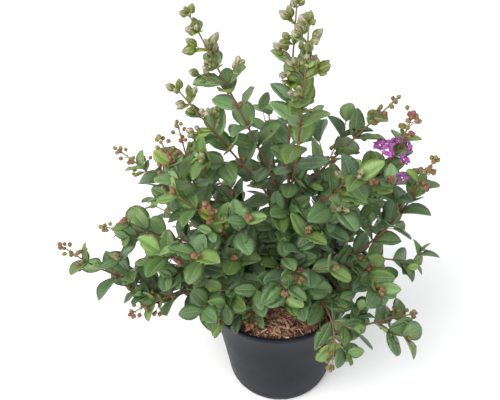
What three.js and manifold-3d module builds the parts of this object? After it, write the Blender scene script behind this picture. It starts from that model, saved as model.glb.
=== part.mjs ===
// A young crape myrtle in bud and first flower, growing in a matt anthracite pot.
// Millimetres, +Z up. The origin is the centre of the pot's flat underside.
// Seen from the front the viewer looks along +Y, so left is -X and the far side is +Y.
import * as THREE from "three";
import { mergeVertices } from "three/addons/utils/BufferGeometryUtils.js";
import Module from "manifold-3d";

const wasm = await Module();
wasm.setup();

// Pot: a plain nursery pot of 22 cm, moulded in one piece, with a narrow lip.
const POT_HEIGHT = 200;
const RIM_RADIUS = 110;
const FOOT_RADIUS = 77;
const LIP_HEIGHT = 7;
const LIP_OVERHANG = 2.6;
const HEEL_HEIGHT = 18;
const HEEL_RADIUS = 82;
const HEEL_BULGE = 1;
const WALL = 2.2;
const WALL_FLARE = 0.28;
const WALL_BENDS = [0.4, 0.75, 1];
const POT_SIDES = 32;

// Potting mix: it fills the pot to just under the rim, with a rough mulch of bark on top.
const MIX_BELOW_RIM = 10;
const MULCH_RINGS = 3;
const MULCH_RELIEF = 2.4;
const MULCH_FLAT_MARGIN = 6;
const GAP = 0.3;

// The leader, a short woody stem, and the limbs that leave it.
const SOIL = POT_HEIGHT - MIX_BELOW_RIM;
const LEADER = { turn: 22, reach: 14, rise: 170 };
const LEADER_LEAN = 0.2;
const LEADER_RADIUS = 7.5;
const LEADER_TOP_RADIUS = 4.2;
const ROOT_FLARE = 4.5;
const ROOT_FLARE_DECAY = 14;
const LEADER_DEPTH = 6;
const LEADER_SIDES = 10;
const LEADER_STEPS = 8;
const LIMB_RADIUS = 2.8;
const SHOOT_RADIUS = 1.7;
const SHOOT_TIP_RADIUS = 0.9;
const TWIG_RADIUS = 0.85;
const BOUGH_SIDES = 5;
const BOUGH_STEP = 34;
const SHOOT_STEP = 45;
const TWIG_SIDES = 3;

// Leaves stand in opposite pairs, and each pair is a quarter turn on from the last. On a level or
// hanging limb the pairs keep to this much of that turn, and so lie in a flat spray.
const INTERNODE = 33;
const FIRST_LEAF = 6;
const FLAT_SPRAY = 0.2;
const LEAF_WIDTH = 0.6;
const LEAF_THICKNESS = 0.03;
const LEAF_FOLD = 0.16;
const LEAF_BEND = 0.1;
const LEAF_MIDDLE = 0.48;
const LEAF_STALK = 0.14;
const LEAF_SPREAD = 54;
const LEAF_SPREAD_LOSS = 14;
const LEAF_DROOP = 0.1;
const LEAF_LIGHT = 1.1;
const LEAF_SWAY = { turn: 16, spread: 9, length: 0.1, droop: 0.14, light: 0.3 };
const LEAF_ROOM = 1.0;
const LEAF_TRIES = [1, 0.85, 0.7];
const LEAF_CORNERS = [[0, 0], [0.28, 0.46], [0.68, 0.42], [1, 0], [0.68, -0.42], [0.28, -0.46]];
const SMALL_LEAF_CORNERS = [[0, 0], [0.46, 0.5], [1, 0], [0.46, -0.5]];

// Side twigs, and the branchlets, buds and petals of the flower heads.
const TWIG_LENGTH = 56;
const TWIG_LEAF = 0.86;
const TWIG_PAIRS = [{ share: 0.5, age: 0.3 }, { share: 0.96, age: 0.8 }];
const TWIG_SEED = 50;
const TWIG_ROOM = 0.7;
const BUD_POINT = 1.4;
const SHORT_STALK = 2.4;
const TOP_STALK = 1.8;
const TOP_BUDS = 3;
const HEAD_SPREAD = 1.05;
const TOP_SPREAD = 0.7;
const OPEN_TIERS = 2;
const FLOWER = 9;

// A mass is joined from its stem, twigs, leaves and buds, and slivers thinner than this go.
const SMOOTHING = 0.4;

// Two solids that share less than this many cubic millimetres are clear of each other.
const TOUCH = 1e-4;
const WELD = 1e-4;

const MATERIALS = {
  pot: { color: 0x3a3a40, roughness: 0.6 },
  mix: { color: 0x6e4c3a, roughness: 0.95 },
  stem: { color: 0x6b4a3a, roughness: 0.85 },
  bough: { color: 0x7a4a3c, roughness: 0.75 },
  foliage: { color: 0x4f7a43, roughness: 0.6 },
};

// The flower heads by kind: how long a stretch of the shoot each takes and what share of that has
// no leaves, its tiers of branchlets, the radius of its buds, how many such radii its longest
// branchlet measures, how much smaller the last leaves below it are, and its buds' sides.
const HEADS = {
  panicle: { reach: 100, clear: 1, tiers: 4, bud: 4.8, stalk: 8, young: 0.15, sides: 5 },
  buds: { reach: 42, clear: 0.55, tiers: 1, bud: 3.4, stalk: 5.4, young: 0.42, sides: 4 },
  blossom: { reach: 84, clear: 0.8, tiers: 3, bud: 3.6, stalk: 8, young: 0.42, sides: 4 },
  leaf: { reach: 4, clear: 0.6, tiers: 0, bud: 0, stalk: 0, young: 0.42, sides: 0 },
};

// One row for each main shoot: the limb it leaves and how far along that limb, the heading of its
// tip from the pot's axis (0 is +X, 90 is +Y), how far out and how high above the soil the tip is,
// how soon the shoot goes out and how soon it goes up, how far its middle swings to its left,
// the share of it that is a bare bough, where its leaves start if it has none, the length and first
// turn of its leaves, the number of its side twigs and what it ends in. Where they differ from the
// usual, the tiers of its head follow, and how much smaller its last leaves are.
const SHOOTS = [
  { name: "crest_front", on: "leader", at: 1.0, turn: 332, reach: 42, rise: 444, out: 0.6, up: 0.15,
    swing: 0, bare: 0.1, leaf: 48, twist: 20, twigs: 0, end: "panicle" },
  { name: "crest_rear", on: "crest_front", at: 0.05, turn: 25, reach: 28, rise: 448, out: 0.35, up: 0.35,
    swing: 8, bare: 0.12, leaf: 42, twist: 120, twigs: 0, end: "panicle" },
  { name: "tall_left", on: "leader", at: 0.9, turn: 168, reach: 95, rise: 436, out: 0.2, up: 0.28,
    swing: 0, bare: 0.1, leaf: 44, twist: 90, twigs: 0, end: "panicle" },
  { name: "upper_left", on: "leader", at: 0.84, turn: 186, reach: 111, rise: 358, out: 0.55, up: 0.55,
    swing: 0, bare: 0.12, leaf: 47, twist: 120, twigs: 1, end: "panicle", tiers: 3 },
  { name: "right_red", on: "leader", at: 0.9, turn: 22, reach: 162, rise: 281, out: 0.45, up: 0.5,
    swing: 0, bare: 0.12, leaf: 50, twist: 140, twigs: 1, end: "buds" },
  { name: "right_mid", on: "leader", at: 0.76, turn: 345, reach: 95, rise: 243, out: 0.8, up: 0.45,
    swing: 0, bare: 0.15, leaf: 50, twist: 80, twigs: 2, end: "panicle", tiers: 1 },
  { name: "left", on: "leader", at: 0.2, turn: 193, reach: 138, rise: 298, out: 0.52, up: -0.05,
    swing: 0, bare: 0.36, leaf: 50, twist: 120, twigs: 1, end: "buds" },
  { name: "left_high", on: "left", at: 0.5, turn: 162, reach: 130, rise: 264, out: 0.4, up: 0.2,
    swing: 0, bare: 0.15, leaf: 46, twist: 160, twigs: 0, end: "buds" },
  { name: "left_wide", on: "left", at: 0.33, turn: 174, reach: 200, rise: 241, out: 0.6, up: 0.75,
    swing: 0, bare: 0.15, leaf: 48, twist: 160, twigs: 0, end: "buds" },
  { name: "left_low", on: "left", at: 0.24, turn: 178, reach: 238, rise: 116, out: 0.3, up: 0.8,
    swing: 0, bare: 0.15, leaf: 48, twist: 50, twigs: 1, end: "buds" },
  { name: "left_near", on: "leader", at: 0.22, turn: 203, reach: 182, rise: 142, out: 0.6, up: 0.3,
    swing: 0, bare: 0, leafy: 0.35, leaf: 50, twist: 110, twigs: 2, end: "leaf" },
  { name: "far_left", on: "leader", at: 0.1, turn: 190, reach: 284, rise: 138, out: 0.67, up: -0.2,
    swing: 0, bare: 0.3, leaf: 50, twist: 140, twigs: 1, end: "buds" },
  { name: "bottom_left", on: "far_left", at: 0.28, turn: 203, reach: 214, rise: 44, out: 0.6, up: 1.2,
    swing: 0, bare: 0, leafy: 0.2, leaf: 48, twist: 100, twigs: 1, end: "buds" },
  { name: "skirt_left", on: "leader", at: 0.06, turn: 220, reach: 132, rise: 64, out: 0.55, up: 1.2,
    swing: 0, bare: 0, leafy: 0.4, leaf: 50, twist: 10, twigs: 2, end: "leaf" },
  { name: "front_left", on: "leader", at: 0.3, turn: 220, reach: 109, rise: 227, out: 0.5, up: 0.1,
    swing: 0, bare: 0.25, leaf: 50, twist: 10, twigs: 3, end: "buds" },
  { name: "front_orange", on: "leader", at: 0.22, turn: 213, reach: 148, rise: 148, out: 0.5, up: 0.6,
    swing: 0, bare: 0.25, leaf: 50, twist: 90, twigs: 2, end: "buds", young: 0.1 },
  { name: "front_hang", on: "leader", at: 0.2, turn: 246, reach: 98, rise: 21, out: 0.4, up: 0.7,
    swing: -12, bare: 0, leafy: 0.3, leaf: 44, twist: 20, twigs: 1, end: "buds", young: 0.1 },
  { name: "front_mid", on: "leader", at: 0.4, turn: 285, reach: 97, rise: 120, out: 0.5, up: 0.7,
    swing: 0, bare: 0, leafy: 0.15, leaf: 48, twist: 145, twigs: 3, end: "buds", young: 0.1 },
  { name: "front_low", on: "leader", at: 0.3, turn: 262, reach: 80, rise: 100, out: 0.5, up: 0.5,
    swing: 0, bare: 0, leafy: 0.15, leaf: 48, twist: 130, twigs: 3, end: "leaf" },
  { name: "front_right", on: "leader", at: 0.14, turn: 298, reach: 150, rise: -16, out: 0.75, up: -1.4,
    swing: 45, bare: 0.25, leaf: 46, twist: 170, twigs: 0, end: "buds", young: 0.1 },
  { name: "right_low", on: "front_right", at: 0.75, turn: 342, reach: 196, rise: 2, out: 0.5, up: 0.35,
    swing: 0, bare: 0, leafy: 0.15, leaf: 50, twist: 80, twigs: 1, end: "buds", young: 0.1 },
  { name: "right_skirt", on: "leader", at: 0.3, turn: 330, reach: 128, rise: 12, out: 0.6, up: -0.2,
    swing: 0, bare: 0, leafy: 0.35, leaf: 50, twist: 110, twigs: 1, end: "leaf" },
  { name: "right", on: "leader", at: 0.17, turn: 355, reach: 193, rise: 247, out: 0.72, up: 0.0,
    swing: 10, bare: 0.35, leaf: 48, twist: 170, twigs: 1, end: "buds" },
  { name: "right_young", on: "right", at: 0.35, turn: 0, reach: 196, rise: 44, out: 0.7, up: 0.7,
    swing: 0, bare: 0, leafy: 0.2, leaf: 48, twist: 40, twigs: 0, end: "leaf" },
  { name: "right_orange", on: "right", at: 0.22, turn: 343, reach: 150, rise: 72, out: 0.5, up: 0.8,
    swing: 0, bare: 0, leafy: 0.15, leaf: 48, twist: 70, twigs: 2, end: "buds", young: 0.1 },
  { name: "right_inner", on: "leader", at: 0.48, turn: 20, reach: 100, rise: 96, out: 0.6, up: 0.4,
    swing: 0, bare: 0, leafy: 0.15, leaf: 48, twist: 90, twigs: 3, end: "leaf" },
  { name: "right_blossom", on: "leader", at: 0.5, turn: 7, reach: 168, rise: 286, out: 0.79, up: 0.2,
    swing: 0, bare: 0.3, leaf: 50, twist: 30, twigs: 2, end: "blossom" },
  { name: "back_mid", on: "leader", at: 0.7, turn: 95, reach: 100, rise: 242, out: 0.6, up: 0.3,
    swing: 0, bare: 0.15, leaf: 50, twist: 70, twigs: 1, end: "leaf" },
  { name: "back_left", on: "leader", at: 0.5, turn: 132, reach: 170, rise: 150, out: 0.7, up: 0.3,
    swing: 0, bare: 0.2, leaf: 48, twist: 40, twigs: 2, end: "buds" },
  { name: "back_right", on: "leader", at: 0.6, turn: 58, reach: 165, rise: 142, out: 0.7, up: 0.3,
    swing: 0, bare: 0.2, leaf: 48, twist: 80, twigs: 2, end: "buds" },
  { name: "back_low", on: "leader", at: 0.34, turn: 92, reach: 195, rise: 70, out: 0.6, up: 0.7,
    swing: 0, bare: 0.12, leaf: 50, twist: 50, twigs: 2, end: "leaf" },
  { name: "back_low_left", on: "leader", at: 0.26, turn: 150, reach: 215, rise: 60, out: 0.6, up: 0.6,
    swing: 0, bare: 0, leafy: 0.12, leaf: 50, twist: 80, twigs: 2, end: "leaf" },
  { name: "back_low_right", on: "leader", at: 0.28, turn: 33, reach: 200, rise: 55, out: 0.6, up: 0.6,
    swing: 0, bare: 0, leafy: 0.12, leaf: 50, twist: 170, twigs: 3, end: "leaf" },
  { name: "front_fill", on: "leader", at: 0.25, turn: 300, reach: 84, rise: 62, out: 0.5, up: 0.8,
    swing: 0, bare: 0, leafy: 0.2, leaf: 48, twist: 20, twigs: 2, end: "leaf" },
  { name: "skirt_front", on: "leader", at: 0.4, turn: 244, reach: 92, rise: 70, out: 0.5, up: 0.9,
    swing: 0, bare: 0, leafy: 0.3, leaf: 48, twist: 10, twigs: 1, end: "leaf" },
  { name: "low_right", on: "leader", at: 0.3, turn: 6, reach: 112, rise: 26, out: 0.5, up: 0.9,
    swing: 0, bare: 0, leafy: 0.25, leaf: 50, twist: 90, twigs: 1, end: "leaf" },
  { name: "back_fill", on: "leader", at: 0.2, turn: 112, reach: 96, rise: 62, out: 0.5, up: 0.8,
    swing: 0, bare: 0, leafy: 0.2, leaf: 50, twist: 120, twigs: 3, end: "leaf" },
];

// A repeatable number from 0 to 1 for a shoot, a place on it and a use.
function chance(shoot, place, use) {
  const wave = Math.sin(shoot * 127.1 + place * 311.7 + use * 74.7 + 1.3) * 43758.5453;
  return wave - Math.floor(wave);
}

// The same number, from -1 to 1.
function sway(shoot, place, use) {
  return 2 * chance(shoot, place, use) - 1;
}

const UP = new THREE.Vector3(0, 0, 1);
const radians = THREE.MathUtils.degToRad;

// A closed geometry as a solid that can be joined and cut.
function solidFrom(geometry) {
  const bare = geometry.index ? geometry.toNonIndexed() : geometry.clone();
  bare.deleteAttribute("normal");
  bare.deleteAttribute("uv");
  const merged = mergeVertices(bare, WELD);
  const vertProperties = merged.attributes.position.array;
  const triVerts = new Uint32Array(merged.index.array);
  return new wasm.Manifold(new wasm.Mesh({ numProp: 3, vertProperties, triVerts }));
}

// A solid back as a geometry.
function geometryFrom(solid) {
  const { vertProperties, triVerts } = solid.getMesh();
  const geometry = new THREE.BufferGeometry();
  geometry.setAttribute("position", new THREE.BufferAttribute(vertProperties, 3));
  geometry.setIndex(new THREE.BufferAttribute(triVerts, 1));
  geometry.computeVertexNormals();
  return geometry;
}

// The largest closed body of a joined solid: a loose scrap or a sealed hollow is left out.
function mainBody(solid) {
  const bodies = solid.decompose();
  return bodies.reduce((best, body) => (body.volume() > best.volume() ? body : best));
}

// Part of a curve, from one share of its length to another.
class Stretch extends THREE.Curve {
  constructor(whole, from, to) {
    super();
    this.whole = whole;
    this.from = from;
    this.to = to;
  }

  getPoint(share, target = new THREE.Vector3()) {
    return this.whole.getPointAt(this.from + (this.to - this.from) * share, target);
  }
}

// A round limb along a curve, its radius given at each share of its length.
function limbSolid(curve, radiusAt, sides, steps) {
  const section = new THREE.Shape();
  for (let i = 0; i < sides; i += 1) {
    const angle = (2 * Math.PI * i) / sides;
    const [x, y] = [Math.cos(angle), Math.sin(angle)];
    if (i === 0) section.moveTo(x, y);
    else section.lineTo(x, y);
  }
  const settings = { steps, extrudePath: curve, bevelEnabled: false };
  const geometry = new THREE.ExtrudeGeometry(section, settings);
  const centres = curve.getSpacedPoints(steps);
  const position = geometry.attributes.position;
  const vertex = new THREE.Vector3();
  for (let i = 0; i < position.count; i += 1) {
    vertex.fromBufferAttribute(position, i);
    const distances = centres.map((centre) => centre.distanceToSquared(vertex));
    const ring = distances.indexOf(Math.min(...distances));
    vertex.sub(centres[ring]).multiplyScalar(radiusAt(ring / steps)).add(centres[ring]);
    position.setXYZ(i, vertex.x, vertex.y, vertex.z);
  }
  return solidFrom(geometry);
}

// The pot's outer half-section from foot to rim: a rounded heel, a wall that flares a little
// towards the top, and a lip that stands proud of it.
function potOutline() {
  const wallTop = RIM_RADIUS - LIP_OVERHANG;
  const outline = [new THREE.Vector2(FOOT_RADIUS, 0)];
  outline.push(new THREE.Vector2((FOOT_RADIUS + HEEL_RADIUS) / 2 + HEEL_BULGE, HEEL_HEIGHT * 0.3));
  outline.push(new THREE.Vector2(HEEL_RADIUS, HEEL_HEIGHT));
  for (const share of WALL_BENDS) {
    const height = HEEL_HEIGHT + (POT_HEIGHT - LIP_HEIGHT - HEEL_HEIGHT) * share;
    const opening = (1 - WALL_FLARE) * share + WALL_FLARE * share ** 4;
    const radius = HEEL_RADIUS + (wallTop - HEEL_RADIUS) * opening;
    outline.push(new THREE.Vector2(radius, height));
  }
  outline.push(new THREE.Vector2(RIM_RADIUS, POT_HEIGHT - LIP_HEIGHT + 1));
  outline.push(new THREE.Vector2(RIM_RADIUS, POT_HEIGHT));
  return outline;
}

// The inner side of the wall, from the rim down to the floor.
function potLining(inset) {
  const outer = potOutline();
  const lining = outer.slice(2, 6).reverse();
  const points = lining.map((p) => new THREE.Vector2(p.x - inset, p.y));
  points[0].y = POT_HEIGHT;
  return points;
}

// The pot as one thin shell, floor and all.
function potGeometry() {
  const lining = potLining(WALL);
  const floor = new THREE.Vector2(FOOT_RADIUS - WALL, WALL);
  const section = [new THREE.Vector2(0, 0), ...potOutline(), ...lining, floor];
  section.push(new THREE.Vector2(0, WALL));
  return new THREE.LatheGeometry(section, POT_SIDES).rotateX(Math.PI / 2);
}

// The mix and its mulch. The top is rough, with a flat place where the leader stands.
function mixGeometry() {
  const lining = potLining(WALL + GAP).slice(1).reverse();
  const edge = lining[lining.length - 1].clone();
  const below = lining[lining.length - 2];
  edge.x = below.x + ((edge.x - below.x) * (SOIL - below.y)) / (edge.y - below.y);
  edge.y = SOIL;
  const flat = LEADER_RADIUS + ROOT_FLARE + MULCH_FLAT_MARGIN;
  const section = [new THREE.Vector2(0, WALL + GAP)];
  section.push(new THREE.Vector2(FOOT_RADIUS - WALL - GAP, WALL + GAP));
  section.push(...lining.slice(0, -1), edge);
  for (let ring = MULCH_RINGS - 1; ring >= 0; ring -= 1) {
    section.push(new THREE.Vector2(flat + ((edge.x - flat) * ring) / MULCH_RINGS, SOIL));
  }
  section.push(new THREE.Vector2(0, SOIL));
  const geometry = new THREE.LatheGeometry(section, POT_SIDES);
  const position = geometry.attributes.position;
  for (let i = 0; i < position.count; i += 1) {
    const [x, y] = [position.getX(i), position.getZ(i)];
    const radius = Math.hypot(x, y);
    if (position.getY(i) < SOIL - 1 || radius < flat + 1) continue;
    const bump = sway(Math.round(x), Math.round(y), 3);
    position.setY(i, SOIL + MULCH_RELIEF * (radius > edge.x - 1 ? 0.4 : 1) * bump);
  }
  geometry.rotateX(Math.PI / 2);
  return geometry;
}

// A point given by its heading from the pot's axis, its reach from it and its rise above the soil.
function standAt({ turn, reach, rise }) {
  const heading = radians(turn);
  return new THREE.Vector3(Math.cos(heading) * reach, Math.sin(heading) * reach, SOIL + rise);
}

// Everything that stands, with its box, so that a new leaf can keep clear of it.
const standing = [];

// The box round a solid.
function boxOf(solid) {
  const { min, max } = solid.boundingBox();
  return new THREE.Box3(new THREE.Vector3(...min), new THREE.Vector3(...max));
}

// Notes a solid as standing, for the limb that carries it.
function stand(solid, owner) {
  standing.push({ solid, owner, box: boxOf(solid) });
  return solid;
}

// Whether a new solid meets nothing but its own carrier.
function isClear(solid, carrier) {
  const box = boxOf(solid);
  return !standing.some((item) => {
    if (item.owner === carrier || !item.box.intersectsBox(box)) return false;
    return item.solid.intersect(solid).volume() > TOUCH;
  });
}

// The curve of a shoot, from its foot on another limb to its tip.
function shootCurve(foot, row) {
  const tip = standAt(row);
  const run = tip.clone().sub(foot);
  const left = new THREE.Vector3(-run.y, run.x, 0).normalize();
  const knee = foot.clone();
  knee.x += run.x * row.out;
  knee.y += run.y * row.out;
  knee.z += run.z * row.up;
  knee.addScaledVector(left, row.swing);
  return new THREE.QuadraticBezierCurve3(foot, knee, tip);
}

// A leaf: a blade with a short point, folded along its midrib. It lies from its root along the
// direction ahead, with its upper side towards face. A small leaf has only its widest points.
function leafSolid({ root, ahead, face, length, small }, room = 0) {
  const blade = small ? new THREE.SphereGeometry(1, 4, 2) : new THREE.SphereGeometry(1, 6, 2);
  const across = new THREE.Vector3().crossVectors(face, ahead);
  const outline = small ? SMALL_LEAF_CORNERS : LEAF_CORNERS;
  const wide = length * LEAF_WIDTH + 2 * room;
  const thick = length * LEAF_THICKNESS + 2 * room;
  const start = room > 0 ? LEAF_STALK : 0;
  const position = blade.attributes.position;
  for (let i = 0; i < position.count; i += 1) {
    const [x, y, z] = [position.getX(i), position.getY(i), position.getZ(i)];
    const turn = (Math.atan2(z, x) / (2 * Math.PI)) * outline.length;
    const corner = (Math.round(turn) + outline.length) % outline.length;
    const pole = Math.abs(y) > 0.5;
    const [along, side] = pole ? [LEAF_MIDDLE, 0] : outline[corner];
    const out = start + along * (1 - start);
    const bend = LEAF_BEND * length * out * out;
    const edge = Math.abs(side) * wide * 2 * LEAF_FOLD;
    const chord = -LEAF_BEND * length * out;
    const lift = pole ? chord - (y > 0 ? 0 : thick) : edge - bend;
    const point = root.clone().addScaledVector(ahead, out * length);
    point.addScaledVector(across, side * wide).addScaledVector(face, lift);
    position.setXYZ(i, point.x, point.y, point.z);
  }
  return solidFrom(blade);
}

// Where a limb is at a share of its length, and the directions along it, to its left and above it.
function frameAt(curve, share, turn) {
  const heading = radians(turn);
  const left = new THREE.Vector3(-Math.sin(heading), Math.cos(heading), 0);
  const point = curve.getPointAt(share);
  const along = curve.getTangentAt(share);
  const aside = new THREE.Vector3().crossVectors(UP, along).addScaledVector(left, 0.2).normalize();
  const above = new THREE.Vector3().crossVectors(along, aside).normalize();
  return { point, along, aside, above };
}

// The direction square to a limb at an angle round it, from its left side upwards.
function spoke(frame, angle) {
  const a = radians(angle);
  const out = frame.aside.clone().multiplyScalar(Math.cos(a));
  return out.addScaledVector(frame.above, Math.sin(a));
}

// The angle of a pair round its limb: a quarter turn on from pair to pair, less on a level limb.
function pairAngle(frame, first, pair) {
  const quarter = ((((first + 90 * pair + 90) % 180) + 180) % 180) - 90;
  return quarter * Math.min(1, FLAT_SPRAY + Math.max(frame.along.z, 0));
}

// A leaf on a limb: it spreads from the limb, droops a little and turns its face to the light.
function leafOn(frame, angle, spread, length, droop, light) {
  const out = spoke(frame, angle);
  const s = radians(spread);
  const ahead = out.clone().multiplyScalar(Math.sin(s)).addScaledVector(frame.along, Math.cos(s));
  ahead.addScaledVector(UP, -droop).normalize();
  const face = frame.along.clone().multiplyScalar(Math.sin(s)).addScaledVector(out, -Math.cos(s));
  face.addScaledVector(UP, light);
  face.addScaledVector(ahead, -face.dot(ahead)).normalize();
  return { root: frame.point, ahead, face, length };
}

// Places of the leaf pairs along a limb, closer together towards its tip.
function pairPlaces(length, from, to) {
  const places = [];
  let place = from;
  while (place < to) {
    const age = (place - from) / Math.max(to - from, 1);
    places.push({ share: place / length, age });
    place += INTERNODE * (1.1 - 0.4 * age);
  }
  return places;
}

// All leaves of one shoot or twig: the longest stand on its middle, and the last are smaller.
function leavesAlong(curve, turn, places, seed, first, longest, young) {
  return places.flatMap(({ share, age }, pair) => {
    const frame = frameAt(curve, share, turn);
    return [0, 180].map((side) => {
      const place = 10 * pair + side / 180;
      const angle = pairAngle(frame, first, pair) + side + LEAF_SWAY.turn * sway(seed, place, 1);
      const spread = LEAF_SPREAD - LEAF_SPREAD_LOSS * age + LEAF_SWAY.spread * sway(seed, place, 2);
      const size = (0.78 + 0.22 * Math.sin(Math.PI * age)) * (1 - young * age ** 3);
      const length = longest * size * (1 + LEAF_SWAY.length * sway(seed, place, 3));
      const droop = LEAF_DROOP + LEAF_SWAY.droop * sway(seed, place, 4);
      const light = LEAF_LIGHT + LEAF_SWAY.light * sway(seed, place, 5);
      return leafOn(frame, angle, spread, length, droop, light);
    });
  });
}

// A bud on its stalk: a rounded drop, blunt at the tip, on a neck that tapers down to the limb it
// grew from. A bud that sits close to the limb has no neck.
function budSolid(foot, axis, reach, radius, sides) {
  const necked = reach > 3 * radius;
  const bud = new THREE.SphereGeometry(1, sides, necked ? 3 : 2);
  const across = new THREE.Vector3(axis.y, axis.z, -axis.x).cross(axis).normalize();
  const beyond = new THREE.Vector3().crossVectors(axis, across);
  const position = bud.attributes.position;
  for (let i = 0; i < position.count; i += 1) {
    const [x, y, z] = [position.getX(i), position.getY(i), position.getZ(i)];
    const neck = necked && y < 0 && y > -0.9;
    const full = reach + (y > 0.9 ? BUD_POINT * radius : 0);
    const height = y < -0.9 ? 0 : neck ? reach - 1.2 * radius : full;
    const wide = (neck ? 0.3 : 1) * radius;
    const point = foot.clone().addScaledVector(axis, height);
    point.addScaledVector(beyond, x * wide).addScaledVector(across, z * wide);
    position.setXYZ(i, point.x, point.y, point.z);
  }
  return solidFrom(bud);
}

// A crinkled flower: petals pressed round the bud that they opened from.
function flowerSolid(centre, seed) {
  const flower = new THREE.IcosahedronGeometry(1, 0);
  const position = flower.attributes.position;
  for (let i = 0; i < position.count; i += 1) {
    const [x, y, z] = [position.getX(i), position.getY(i), position.getZ(i)];
    const crinkle = Math.round(x * 40) + 3 * Math.round(y * 40) + 7 * Math.round(z * 40);
    const size = FLOWER * (0.8 + 0.3 * sway(seed, crinkle, 6));
    position.setXYZ(i, centre.x + x * size, centre.y + y * size, centre.z + z * size);
  }
  return solidFrom(flower);
}

// How long a stretch of a shoot its flower head takes.
function headReach(row) {
  const kind = HEADS[row.end];
  return kind.reach * (row.tiers ? row.tiers / kind.tiers : 1);
}

// The flower head on the last stretch of a shoot: opposite buds on stalks that shorten upwards, and
// a tight group of buds on top. In the head that is in bloom the lowest tiers have opened.
function headParts(curve, row, seed) {
  const kind = HEADS[row.end];
  const tiers = row.tiers ?? kind.tiers;
  const length = curve.getLength();
  const reach = headReach(row);
  const parts = [];
  const addBud = (foot, axis, long, place, tier) => {
    const radius = kind.bud * (1 + 0.15 * sway(seed, place, 8));
    if (!isClear(budSolid(foot, axis, long, radius + TWIG_ROOM, kind.sides), row.name)) return;
    parts.push(budSolid(foot, axis, long, radius, kind.sides));
    const blooms = row.end === "blossom" && tier < OPEN_TIERS;
    if (blooms) parts.push(flowerSolid(foot.clone().addScaledVector(axis, long), seed + place));
  };
  for (let tier = 0; tier < tiers; tier += 1) {
    const share = 1 - (reach / length) * (1 - tier / tiers);
    const frame = frameAt(curve, share, row.turn);
    for (const side of [0, 180]) {
      const place = 100 + 10 * tier + side / 180;
      const angle = pairAngle(frame, row.twist, tier) + side + 20 * sway(seed, place, 9);
      const ahead = frame.along.clone().addScaledVector(spoke(frame, angle), HEAD_SPREAD).normalize();
      const stalk = SHORT_STALK + (kind.stalk - SHORT_STALK) * ((tiers - tier) / kind.tiers) ** 2;
      const long = kind.bud * stalk * (1 + 0.2 * sway(seed, place, 10));
      addBud(frame.point, ahead, long, place, tier);
    }
  }
  const top = frameAt(curve, 1, row.turn);
  const foot = curve.getPointAt(1 - kind.bud / length);
  for (let i = 0; i < TOP_BUDS; i += 1) {
    const out = spoke(top, row.twist + (360 / TOP_BUDS) * i);
    const ahead = top.along.clone().addScaledVector(out, TOP_SPREAD).normalize();
    addBud(foot, ahead, kind.bud * TOP_STALK, 200 + i, tiers);
  }
  return parts;
}

// A side twig in the axil of a leaf: it leaves the shoot at a narrow angle and turns upwards.
function twigCurve(frame, angle, length) {
  const out = spoke(frame, angle);
  const ahead = frame.along.clone().addScaledVector(out, 0.95).addScaledVector(UP, 0.2).normalize();
  const middle = frame.point.clone().addScaledVector(ahead, length * 0.5);
  const tip = middle.clone().addScaledVector(ahead, length * 0.5);
  tip.addScaledVector(UP, length * 0.12);
  return new THREE.QuadraticBezierCurve3(frame.point.clone(), middle, tip);
}

// The leader leans a little and rises from below the soil, where its foot is cut flat.
function leaderCurve() {
  const foot = new THREE.Vector3(0, 0, SOIL - LEADER_DEPTH);
  const top = standAt(LEADER);
  const middle = foot.clone().lerp(top, 0.5);
  middle.x = top.x * LEADER_LEAN;
  return new THREE.QuadraticBezierCurve3(foot, middle, top);
}

// The leader tapers upwards and flares at its root.
function leaderRadius(share) {
  const taper = LEADER_RADIUS + (LEADER_TOP_RADIUS - LEADER_RADIUS) * share;
  return taper + ROOT_FLARE * Math.exp(-share * ROOT_FLARE_DECAY);
}

// The leader grown by a gap on every side, or as it is with a gap of nothing.
function leaderLimb(gap) {
  const radiusAt = (share) => leaderRadius(share) + gap / Math.cos(Math.PI / LEADER_SIDES);
  return limbSolid(limbCurves.leader, radiusAt, LEADER_SIDES, LEADER_STEPS);
}

const limbCurves = { leader: leaderCurve() };
const clearances = { leader: leaderLimb(GAP) };
const nodes = [];

const groundHeight = 2 * LEADER_DEPTH;
const ground = new THREE.BoxGeometry(2 * RIM_RADIUS, 2 * RIM_RADIUS, groundHeight);
ground.translate(0, 0, SOIL + GAP - groundHeight / 2);
const stump = leaderLimb(0).subtract(solidFrom(ground));
nodes.push({ name: "stem", solid: stump, kind: "stem" });
stand(stump, "leader");
stand(solidFrom(potGeometry()), "pot");
stand(solidFrom(mixGeometry()), "mix");

// A limb's radius along its length: a bough tapers quickly, and the shoot beyond it slowly.
function shootRadius(share, bare) {
  if (share < bare) return LIMB_RADIUS + ((SHOOT_RADIUS - LIMB_RADIUS) * share) / bare;
  return SHOOT_RADIUS + ((SHOOT_TIP_RADIUS - SHOOT_RADIUS) * (share - bare)) / (1 - bare);
}

// A number of straight steps for a stretch of limb, so that each step is about as long as asked.
function stepsFor(length, step, least) {
  return Math.max(least, Math.round(length / step));
}

// The bare bough of a shoot, grown by a gap on every side.
function boughLimb(curve, bare, gap) {
  const radiusAt = (share) => shootRadius(share * bare, bare) + gap / Math.cos(Math.PI / BOUGH_SIDES);
  const steps = stepsFor(curve.getLength() * bare, BOUGH_STEP, 2);
  return limbSolid(new Stretch(curve, 0, bare), radiusAt, BOUGH_SIDES, steps);
}

// The leafy stem that goes on from the bough, or from the parent limb where there is no bough.
function stemLimb(curve, bare, gap) {
  const length = curve.getLength();
  const start = bare > 0 ? bare + GAP / length : 0;
  const radiusAt = (share) => {
    const radius = shootRadius(start + share * (1 - start), bare);
    return radius + gap / Math.cos(Math.PI / TWIG_SIDES);
  };
  const steps = stepsFor(length * (1 - start), SHOOT_STEP, 3);
  return limbSolid(new Stretch(curve, start, 1), radiusAt, TWIG_SIDES, steps);
}

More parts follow.
